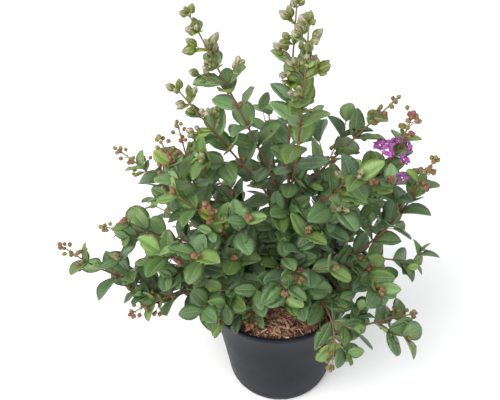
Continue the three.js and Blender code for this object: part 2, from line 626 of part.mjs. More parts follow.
const shoots = SHOOTS.map((row, index) => {
  const { name, on, bare } = row;
  const curve = shootCurve(limbCurves[on].getPointAt(row.at), row);
  limbCurves[name] = curve;
  let stem = stemLimb(curve, bare, 0);
  clearances[name] = stemLimb(curve, bare, GAP);
  if (bare > 0) {
    const bough = mainBody(boughLimb(curve, bare, 0).subtract(clearances[on]));
    clearances[name] = clearances[name].add(boughLimb(curve, bare, GAP));
    nodes.push({ name: `bough_${name}`, solid: bough, kind: "bough" });
    stand(bough, name);
  } else {
    stem = mainBody(stem.subtract(clearances[on]));
  }
  stand(stem, name);
  return { row, index, curve, length: curve.getLength(), parts: [stem], leaves: [] };
});

// Leaf pairs, the flower head and side twigs of each shoot. A twig that meets another limb is left
// out. A leaf is only planned here.
for (const { row, index, curve, length, parts, leaves } of shoots) {
  const { clear, bud, sides } = HEADS[row.end];
  const young = row.young ?? HEADS[row.end].young;
  const start = length * (row.leafy ?? row.bare) + FIRST_LEAF;
  const places = pairPlaces(length, start, length - headReach(row) * clear);
  for (const leaf of leavesAlong(curve, row.turn, places, index, row.twist, row.leaf, young)) {
    leaves.push({ ...leaf, carrier: row.name });
  }
  if (row.end !== "leaf") {
    for (const bud of headParts(curve, row, index)) parts.push(stand(bud, row.name));
  }
  for (let k = 0; k < row.twigs; k += 1) {
    const middle = Math.round(((k + 0.7) * places.length) / (row.twigs + 0.6));
    const pair = Math.min(middle, places.length - 1);
    const frame = frameAt(curve, places[pair].share, row.turn);
    const side = chance(index, k, 20) < 0.5 ? 0 : 180;
    const long = TWIG_LENGTH * (1 + 0.25 * sway(index, k, 21));
    const twig = twigCurve(frame, pairAngle(frame, row.twist, pair) + side + 25, long);
    const radiusAt = (share) => TWIG_RADIUS * (1.15 - 0.3 * share);
    const wood = limbSolid(twig, radiusAt, TWIG_SIDES, 2);
    const room = limbSolid(twig, (share) => radiusAt(share) + TWIG_ROOM, TWIG_SIDES, 2);
    if (isClear(room, row.name)) {
      const carrier = `${row.name}_${k}`;
      const seed = TWIG_SEED + 7 * index + k;
      const longest = row.leaf * TWIG_LEAF;
      parts.push(stand(wood, carrier));
      for (const leaf of leavesAlong(twig, row.turn, TWIG_PAIRS, seed, 90 * k, longest, young)) {
        leaves.push({ ...leaf, carrier, small: true });
      }
      const ahead = twig.getTangentAt(1);
      const inner = twig.getPointAt(1).addScaledVector(ahead, -bud);
      if (bud > 0 && isClear(budSolid(inner, ahead, TOP_STALK * bud, bud + TWIG_ROOM, sides), carrier)) {
        parts.push(stand(budSolid(inner, ahead, TOP_STALK * bud, bud, sides), carrier));
      }
    }
  }
}

// Leaves go on in turn over all the shoots, so that no shoot crowds out another. A leaf that would
// touch another piece is made smaller, and left out where that isn't enough.
const most = Math.max(...shoots.map((shoot) => shoot.leaves.length));
for (let turn = 0; turn < most; turn += 1) {
  for (const { leaves, parts } of shoots.filter((shoot) => turn < shoot.leaves.length)) {
    const sizes = LEAF_TRIES.map((scale) => ({ ...leaves[turn], length: leaves[turn].length * scale }));
    const fits = sizes.find((leaf) => isClear(leafSolid(leaf, LEAF_ROOM), leaf.carrier));
    if (fits) parts.push(stand(leafSolid(fits), "leaf"));
  }
}

// Each shoot with all that it carries becomes one mass.
for (const { row, parts } of shoots) {
  const joined = parts.slice(1).reduce((whole, part) => whole.add(part), parts[0]);
  const mass = mainBody(joined.asOriginal().simplify(SMOOTHING));
  nodes.push({ name: `foliage_${row.name}`, solid: mass, kind: "foliage" });
}

const plant = new THREE.Group();

function addMesh(name, geometry, kind) {
  const mesh = new THREE.Mesh(geometry, new THREE.MeshStandardMaterial(MATERIALS[kind]));
  mesh.name = name;
  plant.add(mesh);
}

addMesh("pot", potGeometry(), "pot");
addMesh("potting_mix", mixGeometry(), "mix");
for (const { name, solid, kind } of nodes) addMesh(name, geometryFrom(solid), kind);

export default plant;
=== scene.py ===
from collections import namedtuple

import bpy
import numpy as np
from mathutils import Matrix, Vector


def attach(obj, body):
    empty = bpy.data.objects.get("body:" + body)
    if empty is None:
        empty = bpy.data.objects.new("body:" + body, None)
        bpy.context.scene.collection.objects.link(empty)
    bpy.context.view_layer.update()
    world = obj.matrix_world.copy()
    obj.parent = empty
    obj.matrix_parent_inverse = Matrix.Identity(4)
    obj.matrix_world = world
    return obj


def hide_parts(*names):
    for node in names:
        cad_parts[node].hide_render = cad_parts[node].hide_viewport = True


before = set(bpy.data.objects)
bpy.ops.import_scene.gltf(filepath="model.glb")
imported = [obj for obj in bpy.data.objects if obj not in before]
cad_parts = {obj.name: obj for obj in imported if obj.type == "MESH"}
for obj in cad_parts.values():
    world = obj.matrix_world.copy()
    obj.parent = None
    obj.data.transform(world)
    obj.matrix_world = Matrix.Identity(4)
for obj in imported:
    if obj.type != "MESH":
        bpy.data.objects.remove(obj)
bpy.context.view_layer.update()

# Studio. A plain pale floor, a white surround, one broad soft light above and to the left of the
# plant and a weaker one to its right. The camera stands where the photographer stood, a little over
# a metre up, and looks down on the crown.
FLOOR_HALF_WIDTH = 6.0
FLOOR_DROP = 0.0004
FLOOR_COLOUR = (1.0, 1.0, 1.0, 1)
SURROUND_COLOUR = (0.98, 0.99, 1.0, 1)
SURROUND_STRENGTH = 0.84
CAMERA_PLACE = (0.0, -0.705, 1.0313)
CAMERA_LENS = 53.14
CAMERA_DOWN = np.radians(43.5)
CAMERA_ASIDE = np.radians(2.85)
CAMERA_ROLL = np.radians(-2.99)
LIGHTS = {
    "window_light": dict(place=(-1.1, -0.9, 2.1), width=1.7, watts=51, colour=(1.0, 0.985, 0.96)),
    "fill_light": dict(place=(0.8, -1.3, 1.5), width=1.8, watts=8, colour=(0.95, 0.98, 1.0)),
}
PLANT_MIDDLE = (0.0, 0.0, 0.33)


def new_material(name, colour, roughness, **plain):
    """A material with one Principled shader, its plain values set on the shader's own sockets."""
    material = bpy.data.materials.new(name)
    material.use_nodes = True
    inputs = material.node_tree.nodes["Principled BSDF"].inputs
    inputs["Base Color"].default_value = colour
    inputs["Roughness"].default_value = roughness
    for socket, value in plain.items():
        inputs[socket.replace("_", " ")].default_value = value
    return material


def hold(mesh, material):
    """The mesh in its one material, as an object of its name at the origin, unturned, unscaled."""
    mesh.materials.append(material)
    made = bpy.data.objects.new(mesh.name, mesh)
    bpy.context.collection.objects.link(made)
    return made


camera_data = bpy.data.cameras.new("camera")
camera_data.lens = CAMERA_LENS
camera = bpy.data.objects.new("camera", camera_data)
turns = ((CAMERA_ASIDE, "Z"), (np.pi / 2 - CAMERA_DOWN, "X"), (CAMERA_ROLL, "Z"))
aside, down, roll = [Matrix.Rotation(angle, 3, axis) for angle, axis in turns]
camera.matrix_world = Matrix.LocRotScale(CAMERA_PLACE, aside @ down @ roll, None)
bpy.context.collection.objects.link(camera)
bpy.context.scene.camera = camera
bpy.context.scene.view_settings.view_transform = "Standard"

for name, light in LIGHTS.items():
    data = bpy.data.lights.new(name, "AREA")
    data.energy = light["watts"]
    data.size = light["width"]
    data.color = light["colour"]
    lamp = bpy.data.objects.new(name, data)
    lamp.location = light["place"]
    gaze = [middle - place for middle, place in zip(PLANT_MIDDLE, light["place"])]
    lamp.rotation_euler = Vector(gaze).to_track_quat("-Z", "Y").to_euler()
    bpy.context.collection.objects.link(lamp)

surround = bpy.data.worlds.new("surround")
surround.use_nodes = True
background = surround.node_tree.nodes["Background"].inputs
background["Color"].default_value = SURROUND_COLOUR
background["Strength"].default_value = SURROUND_STRENGTH
bpy.context.scene.world = surround

floor_mesh = bpy.data.meshes.new("floor")
reach = FLOOR_HALF_WIDTH
corners = [(-reach, -reach), (reach, -reach), (reach, reach), (-reach, reach)]
floor_mesh.from_pydata([(x, y, -FLOOR_DROP) for x, y in corners], [], [(0, 1, 2, 3)])
floor = hold(floor_mesh, new_material("pale_floor", FLOOR_COLOUR, 0.9))

# The pot: a plain 22 cm nursery pot, moulded in one piece of matt anthracite plastic. It has a
# rounded heel on a narrow foot ring, a wall that flares a little, and a slim lip with soft edges.
MM = 0.001
POT_HEIGHT = 200
RIM_RADIUS = 110
FOOT_RADIUS = 77
LIP_HEIGHT = 7
LIP_OVERHANG = 2.6
HEEL_HEIGHT = 18
HEEL_RADIUS = 82
WALL = 2.2
POT_SIDES = 144
FOOT_RING = 6
FOOT_RECESS = 1.4
LIP_ROUNDING = 0.9
POT_COLOUR = (0.0115, 0.0125, 0.0185, 1)
POT_DUST_COLOUR = (0.04, 0.04, 0.043, 1)


def face_uv(*corners):
    """The UV places of a grid of like faces: each corner's turn round its ring and share along."""
    return np.stack([np.stack(np.broadcast_arrays(*corner), -1) for corner in corners], -2)


def closed_skin(name, rings, start, end, shares=None, smooth=True, **values):
    """One mesh of many closed bodies. Each is a row of rings, joined ring to ring by quads, and
    drawn to a point at its start and its end. Rings turn to the left as seen from the end. The
    UV map runs once round each ring and from 0 to 1 along the rows, and every further value is
    one number for each body."""
    bodies, rows, sides = rings.shape[:3]
    count = rows * sides + 2
    start, end = np.asarray(start)[:, None], np.asarray(end)[:, None]
    points = np.concatenate([start, rings.reshape(bodies, -1, 3), end], axis=1)
    k = np.arange(sides)
    after = (k + 1) % sides
    row = 1 + sides * np.arange(rows - 1)[:, None]
    far = 1 + sides * (rows - 1)
    quads = np.stack([row + k, row + after, row + sides + after, row + sides + k], -1).reshape(-1, 4)
    first = np.stack([0 * k, 1 + after, 1 + k], -1)
    last = np.stack([far + k, far + after, 0 * k + count - 1], -1)
    tris = np.concatenate([first, last])
    steps = np.linspace(0, 1, rows + 2) if shares is None else shares
    left, middle, right = k / sides, (k + 0.5) / sides, (k + 1) / sides
    low, high = steps[1:-2, None], steps[2:-1, None]
    quad_uv = face_uv((left, low), (right, low), (right, high), (left, high))
    first_uv = face_uv((middle, steps[0]), (right, steps[1]), (left, steps[1]))
    last_uv = face_uv((left, steps[-2]), (right, steps[-2]), (middle, steps[-1]))
    tri_uv = np.concatenate([first_uv, last_uv])
    shift = (count * np.arange(bodies))[:, None, None]
    corners = np.concatenate([(quads + shift).ravel(), (tris + shift).ravel()])
    sizes = np.repeat([4, 3], [bodies * len(quads), bodies * len(tris)])
    mesh = bpy.data.meshes.new(name)
    mesh.vertices.add(bodies * count)
    mesh.vertices.foreach_set("co", (points * MM).ravel())
    mesh.loops.add(len(corners))
    mesh.loops.foreach_set("vertex_index", corners)
    mesh.polygons.add(len(sizes))
    mesh.polygons.foreach_set("loop_start", np.cumsum(sizes) - sizes)
    mesh.polygons.foreach_set("use_smooth", np.full(len(sizes), smooth))
    mesh.update(calc_edges=True)
    uv = np.concatenate([np.tile(quad_uv.ravel(), bodies), np.tile(tri_uv.ravel(), bodies)])
    mesh.uv_layers.new(name="UVMap").data.foreach_set("uv", uv)
    for label, value in values.items():
        layer = mesh.attributes.new(label, "FLOAT", "POINT")
        layer.data.foreach_set("value", np.repeat(value, count))
    return mesh


def turned(radii, heights, sides):
    """Rings of a turned body: each radius carried once round the upright axis at its height."""
    angle = 2 * np.pi * np.arange(sides) / sides
    x, y = np.cos(angle) * radii[:, None], np.sin(angle) * radii[:, None]
    return np.stack([x, y, heights[:, None] + 0 * x], -1)[None]


def wall_radius(height):
    """The wall's outer radius: straight out from the heel, and out a little faster near the rim."""
    share = (height - HEEL_HEIGHT) / (POT_HEIGHT - LIP_HEIGHT - HEEL_HEIGHT)
    return HEEL_RADIUS + (RIM_RADIUS - LIP_OVERHANG - HEEL_RADIUS) * (0.72 * share + 0.28 * share ** 4)


def quarter(centre, size, start, steps=5):
    """A quarter turn of an ellipse in the pot's section, to the left from the start angle."""
    angle = np.radians(start) + np.linspace(0, np.pi / 2, steps)
    return np.stack([centre[0] + size[0] * np.cos(angle), centre[1] + size[1] * np.sin(angle)], -1)


def pot_section():
    """The pot's half-section as radius and height: underside, heel, wall, lip, lining and floor."""
    r = LIP_ROUNDING
    lip_foot = POT_HEIGHT - LIP_HEIGHT
    outer = np.linspace(HEEL_HEIGHT, lip_foot - 1, 40)[1:]
    inner = np.linspace(POT_HEIGHT - 2, HEEL_HEIGHT, 24)
    inside = RIM_RADIUS - LIP_OVERHANG - WALL
    return np.concatenate([
        [(20, FOOT_RECESS), (FOOT_RADIUS - FOOT_RING - 1, FOOT_RECESS), (FOOT_RADIUS - FOOT_RING, 0.3)],
        [(FOOT_RADIUS - FOOT_RING + 0.6, 0), (FOOT_RADIUS - 1, 0)],
        quarter((FOOT_RADIUS - 1, HEEL_HEIGHT), (HEEL_RADIUS - FOOT_RADIUS + 1, HEEL_HEIGHT), -90, 12)[1:],
        np.stack([wall_radius(outer), outer], -1),
        [(wall_radius(lip_foot) + 0.1, lip_foot - 0.3), (wall_radius(lip_foot) + 0.7, lip_foot)],
        quarter((RIM_RADIUS - r, lip_foot + r), (r, r), -90),
        quarter((RIM_RADIUS - r, POT_HEIGHT - r), (r, r), 0),
        quarter((inside + r, POT_HEIGHT - r), (r, r), 90),
        np.stack([wall_radius(inner) - WALL, inner], -1),
        [(FOOT_RADIUS - WALL, WALL + 1), (FOOT_RADIUS - WALL - 1, WALL)],
    ])


class Nodes:
    """The nodes of a material or a group. Each pattern adds one node and gives what it puts out."""

    def __init__(self, tree):
        self.tree = tree

    def feed(self, node, sockets):
        """Links each socket of a node to another's output, or gives it its value."""
        for name, value in sockets.items():
            if isinstance(value, bpy.types.NodeSocket):
                self.tree.links.new(value, node.inputs[name])
            else:
                node.inputs[name].default_value = value

    def finish(self, **sockets):
        """Feeds the material's shader, or what the group puts out."""
        last = self.tree.nodes.get("Principled BSDF") or self.tree.nodes["Group Output"]
        self.feed(last, {name.replace("_", " "): value for name, value in sockets.items()})

    def add(self, kind, sockets=None, **settings):
        """A new node with its settings, fed."""
        made = self.tree.nodes.new(kind)
        for name, value in settings.items():
            setattr(made, name, value)
        self.feed(made, sockets or {})
        return made

    def place(self):
        """The place on the object, in metres."""
        return self.add("ShaderNodeTexCoord").outputs["Object"]

    def stretched(self, place, scale):
        """The place drawn out along each axis by its scale."""
        return self.add("ShaderNodeMapping", {"Vector": place, "Scale": scale}).outputs[0]

    def noise(self, place, scale, detail, roughness=0.5):
        """Cloudy noise from 0 to 1."""
        sockets = {"Vector": place, "Scale": scale, "Detail": detail, "Roughness": roughness}
        return self.add("ShaderNodeTexNoise", sockets).outputs["Fac"]

    def math(self, operation, *values):
        """A sum, product or the like of two or three values."""
        return self.add("ShaderNodeMath", dict(enumerate(values)), operation=operation).outputs[0]

    def span(self, value, low, high, start=0.0, stop=1.0):
        """A value that runs from start to stop while the given one runs from low to high."""
        ends = {"From Min": low, "From Max": high, "To Min": start, "To Max": stop}
        return self.add("ShaderNodeMapRange", {"Value": value, **ends}).outputs[0]

    def mix(self, share, first, second):
        """The first colour, giving way to the second by its share."""
        return self.add("ShaderNodeMix", {0: share, 6: first, 7: second}, data_type="RGBA").outputs[2]

    def bump(self, height, strength, depth, invert=False):
        """A surface raised by the height, or sunk, by a depth in metres."""
        sockets = {"Height": height, "Strength": strength, "Distance": depth}
        return self.add("ShaderNodeBump", sockets, invert=invert).outputs[0]


section = pot_section()
pot_rings = turned(section[:, 0], section[:, 1], POT_SIDES)
pot_mesh = closed_skin("pot_body", pot_rings, [[0, 0, FOOT_RECESS]], [[0, 0, WALL]])

# Matt plastic: a fine moulded grain, faint scuffs round the wall, and dust towards the heel.
pot_material = new_material("anthracite_plastic", POT_COLOUR, 0.5, Specular_IOR_Level=0.08)
look = Nodes(pot_material.node_tree)
place = look.place()
cloud = look.noise(place, scale=14, detail=5)
streaks = look.noise(look.stretched(place, (9, 9, 70)), scale=2.2, detail=6)
height = look.add("ShaderNodeSeparateXYZ", {"Vector": place}).outputs["Z"]
dust = look.math("MULTIPLY", look.span(height, 0.07, 0.0), cloud)
veil = look.math("ADD", dust, look.span(streaks, 0.5, 0.8, stop=0.06))
look.finish(
    Base_Color=look.mix(veil, POT_COLOUR, POT_DUST_COLOUR),
    Roughness=look.span(cloud, 0.3, 0.7, 0.4, 0.5),
    Normal=look.bump(look.noise(place, scale=900, detail=2), 0.12, 0.0004),
)

pot = hold(pot_mesh, pot_material)
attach(pot, "root")
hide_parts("pot")

# The potting mix: a dark, uneven bed that fills the pot to a finger's breadth under the rim. Its
# surface is a grid of rings, raised and sunk by a few waves that cross each other.
SOIL = POT_HEIGHT - 10
BED_SIDES = 160
BED_RINGS = 44
BED_STEPS = 20
BED_RELIEF = 1.6
BED_GAP = 0.4
BED_FOOT = 30
BED_EYE = 1.5
BED_SUNK = 1.5
BED_COLOUR = (0.07, 0.036, 0.022, 1)
BED_PALE_COLOUR = (0.17, 0.095, 0.06, 1)


def waves(points, seed, size, count=9):
    """A smooth unevenness: twice the mean of sines of about one size that run in seeded directions."""
    dice = np.random.default_rng(seed)
    heading = dice.uniform(0, 2 * np.pi, count)
    pitch = 2 * np.pi / (size * dice.uniform(0.6, 1.5, count))
    phase = dice.uniform(0, 2 * np.pi, count)
    run = points[..., 0, None] * np.cos(heading) + points[..., 1, None] * np.sin(heading)
    return np.sin(run * pitch + phase).mean(-1) * 2


bed_side = np.linspace(BED_FOOT, SOIL - 4, BED_STEPS)
bed_edge = wall_radius(SOIL) - WALL - BED_GAP
bed_top = np.linspace(bed_edge, BED_EYE, BED_RINGS)
bed_radii = np.concatenate([wall_radius(bed_side) - WALL - BED_GAP, bed_top])
bed_heights = np.concatenate([bed_side, np.full(BED_RINGS, SOIL - BED_SUNK)])
bed_rings = turned(bed_radii, bed_heights, BED_SIDES)
top = bed_rings[0, BED_STEPS:]
top[..., 2] += BED_RELIEF * (waves(top, seed=3, size=22) + 0.6 * waves(top, seed=4, size=7))
bed_mesh = closed_skin("potting_mix_bed", bed_rings, [[0, 0, BED_FOOT]], [[0, 0, SOIL - 1]])

# Damp peat and bark dust: crumbs of two sizes in dark peat and paler dust, painted darker in their
# hollows as shade.
bed_material = new_material("damp_peat", BED_COLOUR, 0.95)
look = Nodes(bed_material.node_tree)
place = look.place()
crumbs = look.noise(place, scale=260, detail=6, roughness=0.7)
lumps = look.add("ShaderNodeTexVoronoi", {"Vector": place, "Scale": 330}).outputs["Distance"]
look.finish(
    Base_Color=look.mix(look.span(crumbs, 0.42, 0.75), BED_COLOUR, BED_PALE_COLOUR),
    Normal=look.bump(look.math("ADD", crumbs, lumps), 0.8, 0.0015),
)

bed = hold(bed_mesh, bed_material)
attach(bed, "root")
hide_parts("potting_mix")

# The mulch: shredded bark strewn two or three deep on the bed, from broad chips to thin fibres. Each
# is a split sliver with ragged ends, dropped flat or leaning on the ones below.
CHIPS = {
    "chip": dict(count=1300, length=(6, 17), width=(1.8, 3.8), depth=(0.8, 1.7), seed=11),
    "fibre": dict(count=2300, length=(6, 20), width=(0.6, 1.5), depth=(0.5, 1.0), seed=12),
}
CHIP_LIFT = 4.2
CHIP_SECTIONS = (-1, -0.45, 0.35, 1)
CHIP_MARGIN = 1.5
CHIP_TILT = 0.38
CHIP_ROLL = 0.7
BARK_DARK = (0.075, 0.034, 0.02, 1)
BARK_RED = (0.33, 0.145, 0.08, 1)
BARK_PALE = (0.68, 0.45, 0.29, 1)


def mulch_pieces(count, length, width, depth, seed):
    """Slivers as rings of four corners: each corner is its section's, made ragged by a fifth, then
    tilted, turned and dropped at a seeded place inside the rim."""
    dice = np.random.default_rng(seed)
    size = [dice.uniform(*span, (count, 1, 1)) / 2 for span in (length, width, depth)]
    sections = np.array(CHIP_SECTIONS)[:, None]
    thin = dice.uniform(0.8, 1.15, (count, len(CHIP_SECTIONS), 1))
    thin[:, [0, -1]] = dice.uniform(0.2, 1.0, (count, 2, 1))
    ragged = dice.uniform(0.8, 1.2, (3, count, len(CHIP_SECTIONS), 4))
    x = sections * size[0] * ragged[0]
    y = np.array([1, -1, -1, 1]) * size[1] * thin * ragged[1]
    z = np.array([1, 1, -1, -1]) * size[2] * thin * ragged[2]
    z = z + dice.uniform(-0.1, 0.1, (count, 1, 1)) * x ** 2 / size[0]
    rings = np.stack([x, y, z], -1)
    ends = size[0][:, 0] * dice.uniform(1.0, 1.25, (count, 1))
    ends = np.concatenate([ends, 0 * ends, 0 * ends], -1)
    most = np.array([np.pi, CHIP_TILT, CHIP_ROLL])[:, None]
    turn, tilt, roll = dice.uniform(-1, 1, (3, count)) * most
    ahead = np.stack([np.cos(turn) * np.cos(tilt), np.sin(turn) * np.cos(tilt), np.sin(tilt)], -1)
    level = np.stack([-np.sin(turn), np.cos(turn), 0 * turn], -1)
    aside = level * np.cos(roll)[:, None] + np.cross(ahead, level) * np.sin(roll)[:, None]
    axes = np.stack([ahead, aside, np.cross(ahead, aside)], 1)
    spot = dice.uniform(0, 2 * np.pi, count)
    reach = (bed_edge - CHIP_MARGIN - size[0][:, 0, 0] * 0.9) * np.sqrt(dice.uniform(0, 1, count))
    lift = SOIL - 1 + CHIP_LIFT * dice.uniform(0, 1, count) ** 1.5
    middle = np.stack([np.cos(spot) * reach, np.sin(spot) * reach, lift], -1)
    rings = rings @ axes[:, None] + middle[:, None, None]
    tips = [(side * ends)[:, None] @ axes + middle[:, None] for side in (-1, 1)]
    tone = dice.normal(0, 0.5, count)
    return rings, tips[0][:, 0], tips[1][:, 0], tone


def own(look, name):
    """The value that each body of a skin has of its own."""
    return look.add("ShaderNodeAttribute", attribute_name=name).outputs["Fac"]


# Split bark is reddish brown, nearly black where it is damp and tan on a fresh split, with a fine
# grain all over.
chip_material = new_material("shredded_bark", BARK_RED, 0.88)
look = Nodes(chip_material.node_tree)
grain = look.noise(look.place(), scale=420, detail=5, roughness=0.65)
ramp = look.add("ShaderNodeValToRGB", {"Fac": look.math("MULTIPLY_ADD", grain, 1.1, own(look, "tone"))})
damp, fresh_split = ramp.color_ramp.elements
damp.position, damp.color = 0.05, BARK_DARK
fresh_split.position, fresh_split.color = 1.0, BARK_PALE
ramp.color_ramp.elements.new(0.55).color = BARK_RED
look.finish(Base_Color=ramp.outputs["Color"], Normal=look.bump(grain, 0.5, 0.0006))

for kind, sizes in CHIPS.items():
    rings, starts, ends, tones = mulch_pieces(**sizes)
    mulch_mesh = closed_skin(f"mulch_{kind}s", rings, starts, ends, smooth=False, tone=tones)
    mulch = hold(mulch_mesh, chip_material)
    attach(mulch, "root")
    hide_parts("potting_mix")

# Growth. The plant is one short leaning stem, the leader, that forks into some forty shoots. Each
# shoot is a gentle bend from its foot on another limb to its tip. Leaves stand on it in opposite
# pairs, a quarter turn on from pair to pair, and it ends in leaves, buds or a flower head.
# A row names a shoot, the limb it leaves and how far along that limb, the heading of its tip from
# the pot's axis (0 is +X, 90 is +Y), how far out and how high above the soil the tip is, how soon
# it goes out and up, how far its middle swings to its left, its share of bare bough, where its
# leaves start if it has none, the length and first turn of its leaves, its number of side twigs
# and what it ends in. Where they differ from the usual, the tiers of its head follow, and how much
# smaller its last leaves are. What a row leaves out is as in the usual shoot.
LEADER = dict(turn=22, reach=14, rise=170)
LEADER_KNEE = (0.2, 0.5, 0.5)
LEADER_DEPTH = 6
LEADER_RADIUS = 7.5
LEADER_TOP_RADIUS = 4.2
ROOT_FLARE = 4.5
FLARE_FADE = 14
LIMB_RADIUS = 2.8
SHOOT_RADIUS = 1.7
SHOOT_TIP_RADIUS = 0.9
USUAL_SHOOT = dict(on="leader", swing=0, bare=0, twigs=1)
SHOOTS = [
    dict(name="crest_front", at=1.0, turn=332, reach=42, rise=444,
         out=0.6, up=0.15, bare=0.1, leaf=48, twist=20, twigs=0, end="panicle"),
    dict(name="crest_rear", on="crest_front", at=0.05, turn=25, reach=28, rise=448,
         out=0.35, up=0.35, swing=8, bare=0.12, leaf=42, twist=120, twigs=0, end="panicle"),
    dict(name="tall_left", at=0.9, turn=168, reach=95, rise=436,
         out=0.2, up=0.28, bare=0.1, leaf=44, twist=90, twigs=0, end="panicle"),
    dict(name="upper_left", at=0.84, turn=186, reach=111, rise=358,
         out=0.55, up=0.55, bare=0.12, leaf=47, twist=120, end="panicle", tiers=3),
    dict(name="right_red", at=0.9, turn=22, reach=162, rise=281,
         out=0.45, up=0.5, bare=0.12, leaf=50, twist=140, end="buds"),
    dict(name="right_mid", at=0.76, turn=345, reach=95, rise=243,
         out=0.8, up=0.45, bare=0.15, leaf=50, twist=80, twigs=2, end="panicle", tiers=1),
    dict(name="left", at=0.2, turn=193, reach=138, rise=298,
         out=0.52, up=-0.05, bare=0.36, leaf=50, twist=120, end="buds"),
    dict(name="left_high", on="left", at=0.5, turn=162, reach=130, rise=264,
         out=0.4, up=0.2, bare=0.15, leaf=46, twist=160, twigs=0, end="buds"),
    dict(name="left_wide", on="left", at=0.33, turn=174, reach=200, rise=241,
         out=0.6, up=0.75, bare=0.15, leaf=48, twist=160, twigs=0, end="buds"),
    dict(name="left_low", on="left", at=0.24, turn=178, reach=238, rise=116,
         out=0.3, up=0.8, bare=0.15, leaf=48, twist=50, end="buds"),
    dict(name="left_near", at=0.22, turn=203, reach=182, rise=142,
         out=0.6, up=0.3, leafy=0.35, leaf=50, twist=110, twigs=2, end="leaf"),
    dict(name="far_left", at=0.1, turn=190, reach=284, rise=138,
         out=0.67, up=-0.2, bare=0.3, leaf=50, twist=140, end="buds"),
    dict(name="bottom_left", on="far_left", at=0.28, turn=203, reach=214, rise=44,
         out=0.6, up=1.2, leafy=0.2, leaf=48, twist=100, end="buds"),
    dict(name="skirt_left", at=0.06, turn=220, reach=132, rise=64,
         out=0.55, up=1.2, leafy=0.4, leaf=50, twist=10, twigs=2, end="leaf"),
    dict(name="front_left", at=0.3, turn=220, reach=109, rise=227,
         out=0.5, up=0.1, bare=0.25, leaf=50, twist=10, twigs=3, end="buds"),
    dict(name="front_orange", at=0.22, turn=213, reach=148, rise=148,
         out=0.5, up=0.6, bare=0.25, leaf=50, twist=90, twigs=2, end="buds", young=0.1),
    dict(name="front_hang", at=0.2, turn=246, reach=98, rise=21,
         out=0.4, up=0.7, swing=-12, leafy=0.3, leaf=44, twist=20, end="buds", young=0.1),
    dict(name="front_mid", at=0.4, turn=285, reach=97, rise=120,
         out=0.5, up=0.7, leafy=0.15, leaf=48, twist=145, twigs=3, end="buds", young=0.1),
    dict(name="front_low", at=0.3, turn=262, reach=80, rise=100,
         out=0.5, up=0.5, leafy=0.15, leaf=48, twist=130, twigs=3, end="leaf"),
    dict(name="front_right", at=0.14, turn=298, reach=150, rise=-16,
         out=0.75, up=-1.4, swing=45, bare=0.25, leaf=46, twist=170, twigs=0, end="buds", young=0.1),
    dict(name="right_low", on="front_right", at=0.75, turn=342, reach=196, rise=2,
         out=0.5, up=0.35, leafy=0.15, leaf=50, twist=80, end="buds", young=0.1),
    dict(name="right_skirt", at=0.3, turn=330, reach=128, rise=12,
         out=0.6, up=-0.2, leafy=0.35, leaf=50, twist=110, end="leaf"),
    dict(name="right", at=0.17, turn=355, reach=193, rise=247,
         out=0.72, up=0.0, swing=10, bare=0.35, leaf=48, twist=170, end="buds"),
    dict(name="right_young", on="right", at=0.35, turn=0, reach=196, rise=44,
         out=0.7, up=0.7, leafy=0.2, leaf=48, twist=40, twigs=0, end="leaf"),
    dict(name="right_orange", on="right", at=0.22, turn=343, reach=150, rise=72,
         out=0.5, up=0.8, leafy=0.15, leaf=48, twist=70, twigs=2, end="buds", young=0.1),
    dict(name="right_inner", at=0.48, turn=20, reach=100, rise=96,
         out=0.6, up=0.4, leafy=0.15, leaf=48, twist=90, twigs=3, end="leaf"),
    dict(name="right_blossom", at=0.5, turn=7, reach=168, rise=286,
         out=0.79, up=0.2, bare=0.3, leaf=50, twist=30, twigs=2, end="blossom"),
    dict(name="back_mid", at=0.7, turn=95, reach=100, rise=242,
         out=0.6, up=0.3, bare=0.15, leaf=50, twist=70, end="leaf"),
    dict(name="back_left", at=0.5, turn=132, reach=170, rise=150,
         out=0.7, up=0.3, bare=0.2, leaf=48, twist=40, twigs=2, end="buds"),
    dict(name="back_right", at=0.6, turn=58, reach=165, rise=142,
         out=0.7, up=0.3, bare=0.2, leaf=48, twist=80, twigs=2, end="buds"),
    dict(name="back_low", at=0.34, turn=92, reach=195, rise=70,
         out=0.6, up=0.7, bare=0.12, leaf=50, twist=50, twigs=2, end="leaf"),
    dict(name="back_low_left", at=0.26, turn=150, reach=215, rise=60,
         out=0.6, up=0.6, leafy=0.12, leaf=50, twist=80, twigs=2, end="leaf"),
    dict(name="back_low_right", at=0.28, turn=33, reach=200, rise=55,
         out=0.6, up=0.6, leafy=0.12, leaf=50, twist=170, twigs=3, end="leaf"),
    dict(name="front_fill", at=0.25, turn=300, reach=84, rise=62,
         out=0.5, up=0.8, leafy=0.2, leaf=48, twist=20, twigs=2, end="leaf"),
    dict(name="skirt_front", at=0.4, turn=244, reach=92, rise=70,
         out=0.5, up=0.9, leafy=0.3, leaf=48, twist=10, end="leaf"),
    dict(name="low_right", at=0.3, turn=6, reach=112, rise=26,
         out=0.5, up=0.9, leafy=0.25, leaf=50, twist=90, end="leaf"),
    dict(name="back_fill", at=0.2, turn=112, reach=96, rise=62,
         out=0.5, up=0.8, leafy=0.2, leaf=50, twist=120, twigs=3, end="leaf"),
]
SHOOTS = [USUAL_SHOOT | row for row in SHOOTS]
UP = np.array([0.0, 0.0, 1.0])
SIDE_HOLD = 0.2
FLAT_SPRAY = 0.2


def unit(vector):
    """The vector at length one; of many, each along the last axis."""
    return vector / np.linalg.norm(vector, axis=-1, keepdims=True)


def chance(shoot, spot, use):
    """A repeatable number from 0 to 1 for a shoot, a place on it and a use: what is left after the
    point of a large sine of the three."""
    wave = np.sin(shoot * 127.1 + spot * 311.7 + use * 74.7 + 1.3) * 43758.5453
    return wave - np.floor(wave)


def sway(shoot, spot, use):
    """The same number, from -1 to 1."""
    return 2 * chance(shoot, spot, use) - 1


